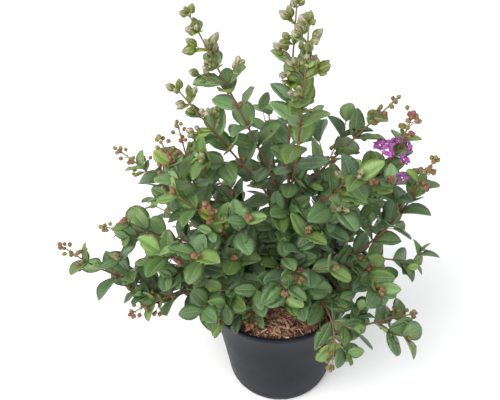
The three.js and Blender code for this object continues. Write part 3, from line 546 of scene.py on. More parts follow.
class Limb:
    """A bend from foot to tip, drawn towards its knee: (1-t)^2 foot + 2t(1-t) knee + t^2 tip. Shares
    of it are shares of its true length, read from two hundred short chords."""

    def __init__(self, foot, knee, tip):
        self.foot, self.knee, self.tip = foot, knee, tip
        self.steps = np.linspace(0, 1, 201)
        chords = np.linalg.norm(np.diff(self.bend(self.steps), axis=0), axis=1)
        run = np.concatenate([[0], np.cumsum(chords)])
        self.length, self.shares = run[-1], run / run[-1]

    def bend(self, t):
        t = np.asarray(t)[..., None]
        return (1 - t) ** 2 * self.foot + 2 * t * (1 - t) * self.knee + t ** 2 * self.tip

    def at(self, share):
        return self.bend(np.interp(share, self.shares, self.steps))

    def along(self, share):
        t = np.interp(share, self.shares, self.steps)[..., None]
        return unit((1 - t) * (self.knee - self.foot) + t * (self.tip - self.knee))


def stand_at(turn, reach, rise):
    """A point from its heading round the pot's axis, its reach from it and its rise above the soil."""
    heading = np.radians(turn)
    return np.array([np.cos(heading) * reach, np.sin(heading) * reach, SOIL + rise])


def shoot_limb(foot, row):
    """The shoot's bend: its knee lies the given shares of the way out and up, swung to its left."""
    tip = stand_at(row["turn"], row["reach"], row["rise"])
    run = tip - foot
    left = unit(np.array([-run[1], run[0], 0.0]))
    knee = foot + run * (row["out"], row["out"], row["up"]) + left * row["swing"]
    return Limb(foot, knee, tip)


def frame_at(limb, share, turn):
    """Where a limb is at a share of its length, and the directions along, beside and above it. The
    one beside it is level, and leans to the left of the shoot's heading where the limb is upright."""
    heading = np.radians(turn)
    along = limb.along(share)
    left = np.array([-np.sin(heading), np.cos(heading), 0])
    aside = unit(np.cross(UP, along) + SIDE_HOLD * left)
    return limb.at(share), along, aside, np.cross(along, aside)


def spoke(spot, angle):
    """The direction square to a limb at an angle round it, from its left side upwards."""
    a = np.radians(angle)
    return spot[2] * np.cos(a) + spot[3] * np.sin(a)


def pair_angle(spot, first, pair):
    """The angle of a pair round its limb: a quarter turn on from pair to pair. On a level or hanging
    limb the pairs turn towards the level too, so that the leaves lie in a flat spray."""
    return ((first + 90 * pair + 90) % 180 - 90) * min(1, FLAT_SPRAY + max(spot[1][2], 0))


leader_foot = np.array([0, 0, SOIL - LEADER_DEPTH])
leader_top = stand_at(**LEADER)
leader_knee = leader_foot + (leader_top - leader_foot) * LEADER_KNEE
limbs = {"leader": Limb(leader_foot, leader_knee, leader_top)}
for row in SHOOTS:
    limbs[row["name"]] = shoot_limb(limbs[row["on"]].at(row["at"]), row)

# The leader: a woody stem as thick as a thumb at the soil, with a flared root collar. Its bark is
# brown and stringy, in long shallow ridges, with a swelling wherever a limb leaves it.
BARK_SIDES = 40
BARK_RINGS = 150
KNUCKLE = 1.1
KNUCKLE_LENGTH = 5
STEM_BARK = (0.12, 0.07, 0.045, 1)
STEM_BARK_PALE = (0.21, 0.14, 0.095, 1)


def tubes(paths, radii, sides, relief=0.0):
    """Rings square to each path, at its radius and a relief round the ring, and the paths' ends.
    Every ring keeps its first corner on the same side of the limb."""
    ahead = unit(np.gradient(paths, axis=1))
    chord = paths[:, -1] - paths[:, 0]
    level = np.cross(chord, UP) + 1e-3 * np.array([1.0, 0.3, 0])
    side = np.cross(ahead, unit(level)[:, None])
    side = unit(side - ahead * (side * ahead).sum(-1, keepdims=True))
    beside = np.cross(ahead, side)
    angle = 2 * np.pi * np.arange(sides) / sides
    ring = side[:, :, None] * np.cos(angle)[:, None] + beside[:, :, None] * np.sin(angle)[:, None]
    size = (radii[:, :, None] * (1 + relief))[..., None]
    return paths[:, :, None] + ring * size, paths[:, 0], paths[:, -1]


def ridges(length, rings, sides, seed, depth):
    """Bark relief: three waves round the limb that wander slowly as they run up it."""
    run = np.linspace(0, length, rings)[:, None]
    angle = 2 * np.pi * np.arange(sides) / sides
    wander = [1.2 * np.sin(run / (11 + 5 * k) + seed + k) for k in range(3)]
    relief = sum(np.cos((3 + 4 * k) * angle + wander[k] * (k + 1)) / (1.5 + k) for k in range(3))
    return depth * relief * (0.7 + 0.3 * np.sin(run / 3.7 + 2 * angle + seed))


def new_group(name, given, made):
    """A shader group with its named sockets: the group, its nodes and what it is given."""
    group = bpy.data.node_groups.new(name, "ShaderNodeTree")
    for way, sockets in (("INPUT", given), ("OUTPUT", made)):
        for label, kind in sockets.items():
            group.interface.new_socket(label, in_out=way, socket_type=f"NodeSocket{kind}")
    group.nodes.new("NodeGroupOutput")
    return group, Nodes(group), group.nodes.new("NodeGroupInput").outputs


def finish_by_group(material, group, **given):
    """Feeds a material's shader with all that a group makes of what it is given."""
    look = Nodes(material.node_tree)
    made = look.add("ShaderNodeGroup", given, node_tree=group).outputs
    look.finish(**{socket.name: socket for socket in made})


# Stringy grain for all wood: streaks that run up the limb, from its own UV map, broken by spots.
wood, look, given = new_group(
    "wood_grain",
    {"Dark": "Color", "Pale": "Color", "Streaks": "Float"},
    {"Base Color": "Color", "Normal": "Vector"},
)
round_limb = look.add("ShaderNodeUVMap", uv_map="UVMap").outputs[0]
streaks = look.noise(look.stretched(round_limb, (9, 2.2, 1)), given["Streaks"], detail=5, roughness=0.65)
both = look.math("MULTIPLY", streaks, look.noise(look.place(), scale=170, detail=3))
look.finish(
    Base_Color=look.mix(look.span(both, 0.17, 0.38), given["Dark"], given["Pale"]),
    Normal=look.bump(both, 0.6, 0.0006),
)


def wood_material(name, dark, pale, streaks, roughness):
    """Bark in two colours, streaked by the shared grain."""
    material = new_material(name, dark, roughness)
    finish_by_group(material, wood, Dark=dark, Pale=pale, Streaks=streaks)
    return material


def leader_radius(share):
    """A straight taper, with a flare at the root that dies away within a few centimetres, and a
    knuckle where each limb leaves."""
    taper = LEADER_RADIUS + (LEADER_TOP_RADIUS - LEADER_RADIUS) * share
    forks = np.array([row["at"] for row in SHOOTS if row["on"] == "leader"])
    near = (share[:, None] - forks) * limbs["leader"].length / KNUCKLE_LENGTH
    return taper + ROOT_FLARE * np.exp(-share * FLARE_FADE) + KNUCKLE * np.exp(-(near ** 2).min(1))


shares = np.linspace(0.02, 1, BARK_RINGS)
leader = limbs["leader"]
relief = ridges(leader.length, BARK_RINGS, BARK_SIDES, seed=1.7, depth=0.07)
skin_rows = tubes(leader.at(shares)[None], leader_radius(shares)[None], BARK_SIDES, relief)
stem_mesh = closed_skin("stem_bark", *skin_rows)
stem = hold(stem_mesh, wood_material("brown_bark", STEM_BARK, STEM_BARK_PALE, 5.0, 0.85))
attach(stem, "root")
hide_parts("stem")

# The boughs: the bare lower lengths of the shoots, reddish brown, with finer ridges and a scar at
# each old leaf pair. Each tapers from the leader to where its leaves begin.
BOUGH_SIDES = 18
BOUGH_RINGS = 60
SCAR_STEP = 24
SCAR_HEIGHT = 0.14
BOUGH_OVERLAP = 1.02
BOUGH_BARK = (0.11, 0.045, 0.032, 1)
BOUGH_BARK_PALE = (0.27, 0.135, 0.095, 1)


def shoot_radius(share, bare):
    """Two straight tapers: a quick one on the bough, and a slow one on the leafy shoot beyond it."""
    leafy = SHOOT_RADIUS + (SHOOT_TIP_RADIUS - SHOOT_RADIUS) * (share - bare) / (1 - bare)
    if not bare:
        return leafy
    return np.where(share < bare, LIMB_RADIUS + (SHOOT_RADIUS - LIMB_RADIUS) * share / bare, leafy)


def scars(run, step, width=1.4):
    """A low ring at every step of the run: a bell curve of the distance to the nearest one."""
    off = (run + step / 2) % step - step / 2
    return np.exp(-(off / width) ** 2)


def columns(rows):
    """Each column of a list of rows as one array."""
    return [np.array(column) for column in zip(*rows)]


bare_rows = [row for row in SHOOTS if row["bare"]]
skin_rows = []
for seed, row in enumerate(bare_rows):
    limb, shares = limbs[row["name"]], np.linspace(0, row["bare"] * BOUGH_OVERLAP, BOUGH_RINGS)
    run = limb.length * shares
    radii = shoot_radius(shares, row["bare"]) * (1 + SCAR_HEIGHT * scars(run, SCAR_STEP))
    skin_rows.append((limb.at(shares), radii, ridges(run[-1], BOUGH_RINGS, BOUGH_SIDES, seed, 0.05)))
paths, radii, relief = columns(skin_rows)
bough_mesh = closed_skin("bough_bark", *tubes(paths, radii, BOUGH_SIDES, relief))
boughs = hold(bough_mesh, wood_material("red_bark", BOUGH_BARK, BOUGH_BARK_PALE, 4.0, 0.6))
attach(boughs, "root")
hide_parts(*[f"bough_{row['name']}" for row in bare_rows])

# The leafy shoots and their side twigs: this year's wood, red-brown where the light reaches it and
# green at the tips. A shoot swells a little at each pair of leaves. Short sprigs stand in the leaf
# axils between the twigs, and a few on the leader, mostly on its sunny side, with old leaves that
# take the painted shade of the middle of the crown.
INTERNODE = 33
FIRST_PAIR = 6
TWIG_LENGTH = 56
TWIG_SPREAD = 0.95
TWIG_RISE = 0.2
TWIG_CURVE = 0.12
TWIG_SEED = 50
TWIG_PAIRS = [(0.5, 0.3), (0.96, 0.8)]
SPRIG_LENGTH = 30
SPRIG_SEED = 400
SPRIG_PAIRS = [(0.55, 0.4), (0.97, 0.9)]
SPRIG_TOP = SOIL + 190
LEAFY_SPRIGS = dict(often=0.7, size=0.62)
INNER_SPRIGS = dict(often=0.75, size=0.8)
INNER_START = 20
OLD_SPRIGS = 9
OLD_SEED = 1300
OLD_PAIRS = [(0.55, 0.2), (0.97, 0.6)]
OLD_LEAF = 40
SUNNY = -90
HEADS = {
    "panicle": dict(reach=100, clear=1.0, tiers=4, bud=4.8, stalk=8, young=0.15),
    "buds": dict(reach=42, clear=0.55, tiers=1, bud=3.4, stalk=5.4, young=0.42),
    "blossom": dict(reach=84, clear=0.8, tiers=3, bud=3.6, stalk=8, young=0.42),
    "leaf": dict(reach=4, clear=0.6, tiers=0, bud=0, stalk=0, young=0.42),
}

# A leafy limb: its kind and bend, the row and index of its shoot, the seed and first turn of its
# leaves, the longest leaf's length, and the places of its pairs, each as share of the limb and age.
Leafy = namedtuple("Leafy", "kind limb row index seed first longest places")


def head_reach(row):
    """How long a stretch of the shoot its head takes."""
    kind = HEADS[row["end"]]
    return kind["reach"] * row.get("tiers", kind["tiers"]) / max(kind["tiers"], 1) or kind["reach"]


def pair_places(length, start, stop):
    """Places of the leaf pairs along a limb, closer together towards its tip: share and age."""
    places = []
    place = start
    while place < stop:
        age = (place - start) / max(stop - start, 1)
        places.append((place / length, age))
        place += INTERNODE * (1.1 - 0.4 * age)
    return places


def twig_limb(spot, angle, length):
    """A side twig: it leaves the shoot at a narrow angle and turns upwards."""
    ahead = unit(spot[1] + TWIG_SPREAD * spoke(spot, angle) + TWIG_RISE * UP)
    tip = spot[0] + (ahead + TWIG_CURVE * UP) * length
    return Limb(spot[0], spot[0] + ahead * length / 2, tip)


def either_side(index, mark, use):
    """One side of a limb or the other, by chance, as degrees round it."""
    return 0 if chance(index, mark, use) < 0.5 else 180


def twig_pair(k, twigs, pairs):
    """The leaf pair at which the k-th twig stands: they are spread evenly, and a half rounds up."""
    return min(round((k + 0.7) * pairs / (twigs + 0.6) + 1e-9), pairs - 1)


leafy = []
for index, row in enumerate(SHOOTS):
    limb, twist, longest = limbs[row["name"]], row["twist"], row["leaf"]
    start = limb.length * row.get("leafy", row["bare"]) + FIRST_PAIR
    places = pair_places(limb.length, start, limb.length - head_reach(row) * HEADS[row["end"]]["clear"])
    leafy.append(Leafy("shoot", limb, row, index, index, twist, longest, places))
    used = [twig_pair(k, row["twigs"], len(places)) for k in range(row["twigs"])]
    for k, pair in enumerate(used):
        angle = either_side(index, k, 20) + 25
        long = TWIG_LENGTH * (1 + 0.25 * sway(index, k, 21))
        spot = frame_at(limb, places[pair][0], row["turn"])
        twig = twig_limb(spot, pair_angle(spot, twist, pair) + angle, long)
        seed = TWIG_SEED + 7 * index + k
        leafy.append(Leafy("twig", twig, row, index, seed, 90 * k, longest * 0.86, TWIG_PAIRS))
    # Sprigs stand at the free pairs and, as if of age -1, on the older wood below them.
    inner = pair_places(limb.length, INNER_START, start - INNER_START)
    spots = [(pair, share, age) for pair, (share, age) in enumerate(places) if pair not in used]
    spots += [(20 + pair, share, -1) for pair, (share, age) in enumerate(inner)]
    for pair, share, age in spots:
        sprigs = LEAFY_SPRIGS if age >= 0 else INNER_SPRIGS
        if chance(index, pair, 30) > sprigs["often"] or limb.at(share)[2] > SPRIG_TOP:
            continue
        angle = either_side(index, pair, 31) + 15
        long = SPRIG_LENGTH * (1 + 0.35 * sway(index, pair, 32)) * (1 - 0.3 * age)
        spot = frame_at(limb, share, row["turn"])
        sprig = twig_limb(spot, pair_angle(spot, twist, pair) + angle, long)
        seed = SPRIG_SEED + 11 * index + pair
        size = longest * sprigs["size"]
        leafy.append(Leafy("sprig", sprig, row, index, seed, 90 * pair, size, SPRIG_PAIRS))
for k in range(OLD_SPRIGS):
    spot = frame_at(limbs["leader"], 0.3 + 0.68 * k / OLD_SPRIGS, SUNNY)
    long = SPRIG_LENGTH + 10 * sway(OLD_SEED, k, 34)
    sprig = twig_limb(spot, 80 * sway(OLD_SEED, k, 33) + SUNNY, long)
    row, seed = dict(turn=SUNNY, end="leaf"), OLD_SEED + 11 * k
    leafy.append(Leafy("sprig", sprig, row, OLD_SEED, seed, 90 * k + 20, OLD_LEAF, OLD_PAIRS))


def leaf_on(spot, angle, spread, length, droop, light):
    """A leaf's root, the way it points, the way its upper side faces and its length: it spreads
    from the limb, droops a little and turns to the light."""
    out = spoke(spot, angle)
    s = np.radians(spread)
    ahead = unit(out * np.sin(s) + spot[1] * np.cos(s) - UP * droop)
    face = spot[1] * np.sin(s) - out * np.cos(s) + UP * light
    return spot[0], ahead, unit(face - ahead * (face @ ahead)), length


# The leaves: small, leathery and smooth-edged, broad ovals with a short point, almost without
# stalks. They are painted darker in the middle of the crown and low down, as shade, and lighter on
# the outside, as light, and they are paler and fresher towards the tips, where they are young.
LEAF_SPREAD = 54
LEAF_WIDTH = 0.63
LEAF_THICKNESS = 0.45
FRESH = dict(shoot=0.62, twig=0.4, sprig=0.4)
LEAF_ROWS = np.array([0.05, 0.12, 0.24, 0.38, 0.54, 0.70, 0.84, 0.94])
# Painted shade of the crown: a leaf is drawn lighter the farther it is from this core, and darker the lower
# it stands above the soil, most of all on the crown's left side.
SHADE_CORE = np.array([-30.0, 35.0, SOIL + 90])
SHADE_CORE_SIZE = 250
LOW_SHADE_HEIGHT = 150
SHADY_SIDE = 120
HALVES_APART = 0.31
# Lit and shaded copies of one leaf colour, a painted light and shade: dark for shaded leaves in the middle
# and low down, mid, pale for lit ones on the outside, and young for the fresh tips, which are also the most
# lit.
LEAF_CLASSES = [
    dict(name="leaves_dark", below=0.42, upper=(0.084, 0.156, 0.046, 1), under=(0.13, 0.205, 0.075, 1)),
    dict(name="leaves_mid", below=0.80, upper=(0.114, 0.198, 0.058, 1), under=(0.18, 0.27, 0.10, 1)),
    dict(name="leaves_pale", below=1.12, upper=(0.160, 0.266, 0.078, 1), under=(0.23, 0.34, 0.125, 1)),
    dict(name="leaves_young", below=9.0, upper=(0.245, 0.38, 0.080, 1), under=(0.29, 0.42, 0.12, 1)),
]
LEAF_VEIN = (0.30, 0.40, 0.24, 1)
BLADE_ROUND = np.array([9, 4, 1, 0, -1, -4, -9, -4, -1, 0, 1, 4]) / 9
BLADE_UPPER = np.array([0, 1, 1, 1, 1, 1, 0, -1, -1, -1, -1, -1])


def blades(leaf, rows, outline, thickness):
    """Rings of thin blades, each a fold of two halves that arch down to the margin. Along: share
    times length. Across: the outline's half-width, swept sideways by the square of the share. Up:
    the fold less the arch, less the bend by the square of the share, and a ripple that grows
    towards the margin. The whole cross-section is turned about the midrib by the twist."""
    across = np.cross(leaf["face"], leaf["ahead"])
    column = {key: value[:, None, None] for key, value in leaf.items() if value.ndim == 1}
    long, u, v = column["length"], rows[:, None], BLADE_ROUND
    half = column["wide"] / 2 * outline[..., None]
    y = v * half + column["sweep"] * long * u ** 2
    wave = np.sin(2 * np.pi * (column["cycles"] * u + column["phase"] + HALVES_APART * (v > 0)))
    z = half * (column["fold"] * abs(v) - column["arch"] * v ** 2) - column["bend"] * long * u ** 2
    z = z + column["ripple"] * long * wave * v ** 2 * np.sin(np.pi * u)
    z = z + BLADE_UPPER * thickness / 2
    turn = column["twist"] * u
    y, z = y * np.cos(turn) - z * np.sin(turn), y * np.sin(turn) + z * np.cos(turn)
    axes = np.stack([leaf["ahead"], across, leaf["face"]], 1)
    rings = np.stack([long * u + 0 * y, y, z], -1) @ axes[:, None] + leaf["root"][:, None, None]
    tip = np.stack([leaf["length"], leaf["sweep"] * leaf["length"], -leaf["bend"] * leaf["length"]], -1)
    return rings, leaf["root"], (tip[:, None] @ axes)[:, 0] + leaf["root"]


def leaf_outline(u, round_off, skew):
    """Half-width as a share of the widest: a sine of the share, skewed towards the root and drawn
    out or rounded off by its power, with a short stalk before it."""
    run = np.clip((u - 0.04) / 0.96, 0, 1)
    return np.sin(np.pi * run ** skew[:, None]) ** round_off[:, None] + 0.035 * (1 - run)


leaf_rows = []
for part in leafy:
    seed, row = part.seed, part.row
    young = row.get("young", HEADS[row["end"]]["young"])
    for pair, (share, age) in enumerate(part.places):
        spot = frame_at(part.limb, share, row["turn"])
        fresh = age ** 2 * FRESH[part.kind]
        size = (0.78 + 0.22 * np.sin(np.pi * age)) * (1 - young * age ** 3)
        for side in (0, 1):
            mark = 10 * pair + side
            angle = pair_angle(spot, part.first, pair) + 180 * side + 16 * sway(seed, mark, 1)
            spread = LEAF_SPREAD - 14 * age + 9 * sway(seed, mark, 2)
            length = part.longest * size * (1 + 0.1 * sway(seed, mark, 3))
            droop, light = 0.1 + 0.14 * sway(seed, mark, 4), 1.1 + 0.3 * sway(seed, mark, 5)
            leaf_rows.append((*leaf_on(spot, angle, spread, length, droop, light), fresh, seed, mark))

# Flower heads. Opposite buds stand on stalks that shorten upwards, with a tight group on top and a
# pair of small bracts under each tier. In the head that is in bloom the two lowest tiers have opened.
# A lean is how far a stalk goes out for each step along what it stands on.
SHORT_STALK = 2.4
FINE_TIERS = (0.42, 0.72)
TIER_LEAN = 1.05
TOP_LEAN = 0.7
BUNCH_LEAN = 0.42
SMALL_FORK = 0.35
SIDE_BUD_LEAN = 0.8
SIDE_BUD_STALK = 9
OPEN_TIERS = 2
FLOWERS_ON_FORK = 2
FLOWER_FORK = 0.55
FLOWER_LEAN = 0.75
PETAL_LENGTH = 9
CUP_RADIUS = 2.3
CUP_HEIGHT = 2
AXIL_BUD_CHANCE = 0.62
AXIL_BUD_RADIUS = 2.2
AXIL_BUD_LEAN = 0.75
AXIL_BUD_STALK = 9
BRACT = dict(panicle=34, buds=14, blossom=22)
BRACT_SPREAD = 58
BRACT_SEED = 900
BUNCHES = {
    "ripe": dict(scatter=0.3, splay=0.14, above=0.0, cup=1.0, thick=0.6, green=0.7),
    "small": dict(scatter=0.4, splay=0.18, above=0.4, cup=0.7, thick=0.4, green=0.6),
}
buds = {"ripe": [], "small": []}
flowers = []
stalks = []


def add_stalk(start, stop, thick, green):
    """Notes one thin stalk for the piece bud_stalks: its ends, its radius and how green it is."""
    stalks.append((start, stop, thick, green))


def spoke_axes(axis, off=(0.3, 0.2, 1.0)):
    """Two directions square to an axis and to each other, the first square to a slant one too."""
    side = unit(np.cross(axis, off))
    return side, np.cross(axis, side)


def add_bunch(kind, fork, axis, radius, seed, count, stalk, swing):
    """Buds that lean out round the axis from one fork, each on a stalk of its own. A single bud
    goes straight on."""
    form = BUNCHES[kind]
    side, beside = spoke_axes(axis)
    for k in range(count):
        a = 2 * np.pi * (k + form["scatter"] * sway(seed, k, 60)) / count + seed
        lean = 0.0 if count == 1 else BUNCH_LEAN + form["splay"] * sway(seed, k, 61)
        out = unit(axis + lean * (np.cos(a) * side + np.sin(a) * beside))
        size = radius * (0.86 + 0.14 * sway(seed, k, 62))
        reach = stalk + swing * sway(seed, k, 63) + form["above"] * size
        buds[kind].append((fork + out * reach, out, size, sway(seed, k, 64)))
        add_stalk(fork, fork + out * (reach - form["cup"] * size), form["thick"], form["green"])


def add_small_buds(foot, axis, long, radius, seed, count):
    """A branchlet that forks a third of the way up into a bunch of small buds."""
    fork = foot + axis * long * SMALL_FORK
    stalk = (1 - SMALL_FORK) * long
    add_stalk(foot, fork, 0.55, 0.35)
    add_bunch("small", fork, axis, radius, seed, count, stalk, 0.25 * stalk)


def add_ripe_buds(foot, axis, long, radius, seed, count):
    """A branchlet that ends in ripe buds on short stalks."""
    fork = foot + axis * max(long - 1.7 * radius, 0.15 * long)
    add_stalk(foot, fork, 0.7, 0.5)
    add_bunch("ripe", fork, axis, radius, seed, count, 1.75 * radius, 0.3 * radius)


def add_flowers(foot, axis, long, seed):
    """A branchlet that forks half-way up into open flowers, each in the cup of its bud."""
    fork = foot + axis * long * FLOWER_FORK
    add_stalk(foot, fork, 0.5, 0.5)
    side, beside = spoke_axes(axis)
    for k in range(FLOWERS_ON_FORK):
        a = 2 * np.pi * k / FLOWERS_ON_FORK + seed
        out = unit(axis + FLOWER_LEAN * (np.cos(a) * side + np.sin(a) * beside))
        cup = fork + out * long * 0.4
        add_stalk(fork, cup, 0.4, 0.5)
        buds["small"].append((cup, out, CUP_RADIUS, 0.3))
        flowers.append((cup + out * CUP_HEIGHT, out, PETAL_LENGTH, seed + 7 * k))


def add_head_bud(row, foot, axis, long, seed, mark, tier):
    """One place of a flower head: ripe buds, open flowers, or a bunch of small buds."""
    kind = HEADS[row["end"]]
    on_top = tier == row.get("tiers", kind["tiers"])
    radius = kind["bud"] * (1 + 0.15 * sway(seed, mark, 8))
    seed = seed + mark
    if row["end"] == "panicle":
        add_ripe_buds(foot, axis, long, radius, seed, 1 if on_top else 2)
        if long > 5 * radius:
            spot = (foot + axis * long * 0.5, axis, *spoke_axes(axis))
            for turn in (0, 180):
                out = unit(axis + SIDE_BUD_LEAN * spoke(spot, 90 + turn))
                add_ripe_buds(spot[0], out, SIDE_BUD_STALK, radius * 0.8, seed + turn + 7, 1)
    elif row["end"] == "blossom" and tier < OPEN_TIERS:
        add_flowers(foot, axis, long, seed)
    else:
        add_small_buds(foot, axis, long, radius, seed, 1 if on_top else 3)


def branch_pair(spot, row, seed, tier, first_mark):
    """The two branchlets of a tier: the mark, the angle and the direction of each."""
    for side in (0, 1):
        mark = first_mark + side
        angle = pair_angle(spot, row["twist"], tier) + 180 * side + 20 * sway(seed, mark, 9)
        yield mark, angle, unit(spot[1] + TIER_LEAN * spoke(spot, angle))


heads = [part for part in leafy if part.kind != "sprig" and part.row["end"] != "leaf"]
for part in [part for part in heads if part.kind == "shoot"]:
    row, limb, seed = part.row, part.limb, part.index
    kind, reach = HEADS[row["end"]], head_reach(row)
    bud, tiers = kind["bud"], row.get("tiers", kind["tiers"])
    for tier in range(tiers):
        spot = frame_at(limb, 1 - (reach / limb.length) * (1 - tier / tiers), row["turn"])
        left_over = (tiers - tier) / kind["tiers"]
        stalk = SHORT_STALK + (kind["stalk"] - SHORT_STALK) * left_over ** 2
        for mark, angle, ahead in branch_pair(spot, row, seed, tier, 100 + 10 * tier):
            long = bud * stalk * (1 + 0.2 * sway(seed, mark, 10))
            add_head_bud(row, spot[0], ahead, long, seed, mark, tier)
            bract = BRACT[row["end"]] * (0.45 + 0.65 * left_over ** 2) * (1 + 0.25 * sway(seed, mark, 11))
            placed = leaf_on(spot, angle + 14, BRACT_SPREAD, bract, 0.05, 0.8)
            leaf_rows.append((*placed, 0.55, BRACT_SEED + seed, mark))
    top = frame_at(limb, 1.0, row["turn"])
    foot = limb.at(1 - bud / limb.length)
    if row["end"] != "panicle":
        for step, place in enumerate(FINE_TIERS):
            spot = frame_at(limb, 1 - reach / limb.length * (1 - place) / tiers, row["turn"])
            for mark, angle, ahead in branch_pair(spot, row, seed, tiers + step, 160 + 10 * step):
                add_small_buds(spot[0], ahead, 2.6 * bud * kind["tiers"] ** 0.5, bud, seed + mark, 2 - step)
        add_small_buds(foot, top[1], 3 * bud, bud, seed + 240, 1)
    for i in range(3):
        ahead = unit(top[1] + TOP_LEAN * spoke(top, row["twist"] + 120 * i))
        add_head_bud(row, foot, ahead, bud * 1.8, seed, 200 + i, tiers)
    for pair, (share, age) in list(enumerate(part.places))[-3:]:
        spot = frame_at(limb, share, row["turn"])
        for side in (0, 1):
            mark = 300 + 10 * pair + side
            if chance(seed, mark, 12) < AXIL_BUD_CHANCE:
                angle = pair_angle(spot, row["twist"], pair) + 180 * side + 10
                ahead = unit(spot[1] + AXIL_BUD_LEAN * spoke(spot, angle))
                long = AXIL_BUD_STALK + 4 * sway(seed, mark, 13)
                add_small_buds(spot[0], ahead, long, AXIL_BUD_RADIUS, seed + mark, 3)

for part in [part for part in heads if part.kind == "twig"]:
    bud = HEADS[part.row["end"]]["bud"]
    tip, ahead = part.limb.at(1.0), part.limb.along(np.array(1.0))
    if part.row["end"] == "panicle":
        add_ripe_buds(tip, ahead, 1.8 * bud, bud, part.seed, 2)
    else:
        add_small_buds(tip, ahead, 9, bud, part.seed, 4)

# All leaves as arrays: where each stands, and the small differences in its form.
root, ahead, face, length, fresh, seed, mark = columns(leaf_rows)
# Painted light and shade of each leaf: lighter the farther it is from the core of the crown, darker the
# lower it stands unless it is fresh, and its tone darker still on the low left side. Its light value picks
# its lit or shaded colour class.
away = np.linalg.norm(root - SHADE_CORE, axis=1) / SHADE_CORE_SIZE
low = np.clip(1 - (root[:, 2] - SOIL) / LOW_SHADE_HEIGHT, 0, 1) * (1 - 1.5 * fresh)
shady = low * np.clip(-root[:, 0] / SHADY_SIDE, 0, 1)
leaf = dict(
    root=root, ahead=ahead, face=face, length=length,
    wide=length * LEAF_WIDTH * (1.06 + 0.12 * sway(seed, mark, 40)),
    fold=0.5 + 0.24 * sway(seed, mark, 41), arch=0.16 + 0.14 * sway(seed, mark, 42),
    bend=0.12 + 0.13 * sway(seed, mark, 43), sweep=0.07 * sway(seed, mark, 44),
    ripple=0.018 + 0.014 * sway(seed, mark, 45), cycles=1.6 + 0.6 * sway(seed, mark, 46),
    phase=chance(seed, mark, 47), twist=0.35 * sway(seed, mark, 48),
    round_off=0.60 + 0.13 * sway(seed, mark, 49), skew=0.98 + 0.16 * sway(seed, mark, 50),
    # The tone is a random difference, less a painted shade on the low left side; the bluish cast after it
    # is partly waxy bloom and partly a painted sky sheen.
    tone=sway(seed, mark, 51) - 1.3 * shady, waxy=0.2 + 0.8 * sway(seed, mark, 53) - 0.6 * fresh,
    light=fresh + 0.42 * away - 0.36 * low + 0.36 * sway(seed, mark, 52),
)

# A leaf's skin: a pale midrib, side veins that run forward to the margin, a little unevenness of
# tone with a painted shade on the low left side, a bluish-grey cast that is partly waxy bloom and
# partly a painted sky sheen, and a paler, duller underside. The UV map runs along the leaf and round
# it, upper side first.
leaf_skin, look, given = new_group(
    "leaf_skin",
    {"Upper": "Color", "Under": "Color", "Vein": "Color"},
    {"Base Color": "Color", "Roughness": "Float", "Normal": "Vector"},
)


def round_and_along(look):
    """The turn round a skin's rings and the share along its rows."""
    uv = look.add("ShaderNodeUVMap", uv_map="UVMap").outputs[0]
    split = look.add("ShaderNodeSeparateXYZ", {"Vector": uv}).outputs
    return split["X"], split["Y"]


def scaled(look, colour, factor):
    """A colour made lighter or darker."""
    return look.add("ShaderNodeVectorMath", {0: colour, 3: factor}, operation="SCALE").outputs[0]


turn, along = round_and_along(look)
wide = look.math("MULTIPLY_ADD", look.math("MODULO", turn, 0.5), 4, -1)
off = look.math("MULTIPLY", wide, wide)
rib = look.span(off, 0.004, 0.035, 1, 0)
slope = look.math("MULTIPLY", look.math("POWER", off, 0.7), -1.7)
comb = look.math("PINGPONG", look.math("MULTIPLY_ADD", along, 8.5, slope), 0.5)
side_veins = look.math("MULTIPLY", look.span(comb, 0, 0.13, 0.5, 0), look.math("SUBTRACT", 1, off))
veins = look.math("MAXIMUM", rib, side_veins)
cloud = look.noise(look.place(), scale=60, detail=7, roughness=0.65)
# The tone: random differences, and the painted shade of the low left leaves.
tone = look.math("MULTIPLY_ADD", own(look, "tone"), 0.22, 1)
level = look.math("MULTIPLY", tone, look.span(cloud, 0.25, 0.75, 0.78, 1.24))
underside = look.math("GREATER_THAN", turn, 0.5)
blade = scaled(look, look.mix(underside, given["Upper"], given["Under"]), level)
# A bluish-grey cast: partly the waxy bloom, partly a painted sheen of the pale sky.
waxy = own(look, "waxy")
blade_with_sheen = look.add("ShaderNodeHueSaturation", {
    "Color": blade,
    "Hue": look.math("MULTIPLY_ADD", waxy, 0.03, 0.5),
    "Saturation": look.math("MULTIPLY_ADD", waxy, -0.2, 1),
}).outputs[0]
look.finish(
    Base_Color=look.mix(look.math("MULTIPLY", veins, 0.46), blade_with_sheen, given["Vein"]),
    Roughness=look.math("MULTIPLY_ADD", underside, 0.22, look.span(cloud, 0, 1, 0.3, 0.46)),
    Normal=look.bump(veins, 0.6, 0.0009, invert=True),
)

masses = [f"foliage_{row['name']}" for row in SHOOTS]
shares = np.array([0, *LEAF_ROWS, 1])
last = -9.0
for kind in LEAF_CLASSES:
    chosen = (leaf["light"] >= last) & (leaf["light"] < kind["below"])
    last = kind["below"]
    some = {key: value[chosen] for key, value in leaf.items()}
    outline = leaf_outline(LEAF_ROWS, some["round_off"], some["skew"])
    skin_rows = blades(some, LEAF_ROWS, outline, LEAF_THICKNESS)
    mesh = closed_skin(kind["name"], *skin_rows, shares, tone=some["tone"], waxy=some["waxy"])
    material = new_material(kind["name"].replace("leaves", "leaf"), kind["upper"], 0.45)
    finish_by_group(material, leaf_skin, Upper=kind["upper"], Under=kind["under"], Vein=LEAF_VEIN)
    piece = hold(mesh, material)
    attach(piece, "root")
    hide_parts(*masses)

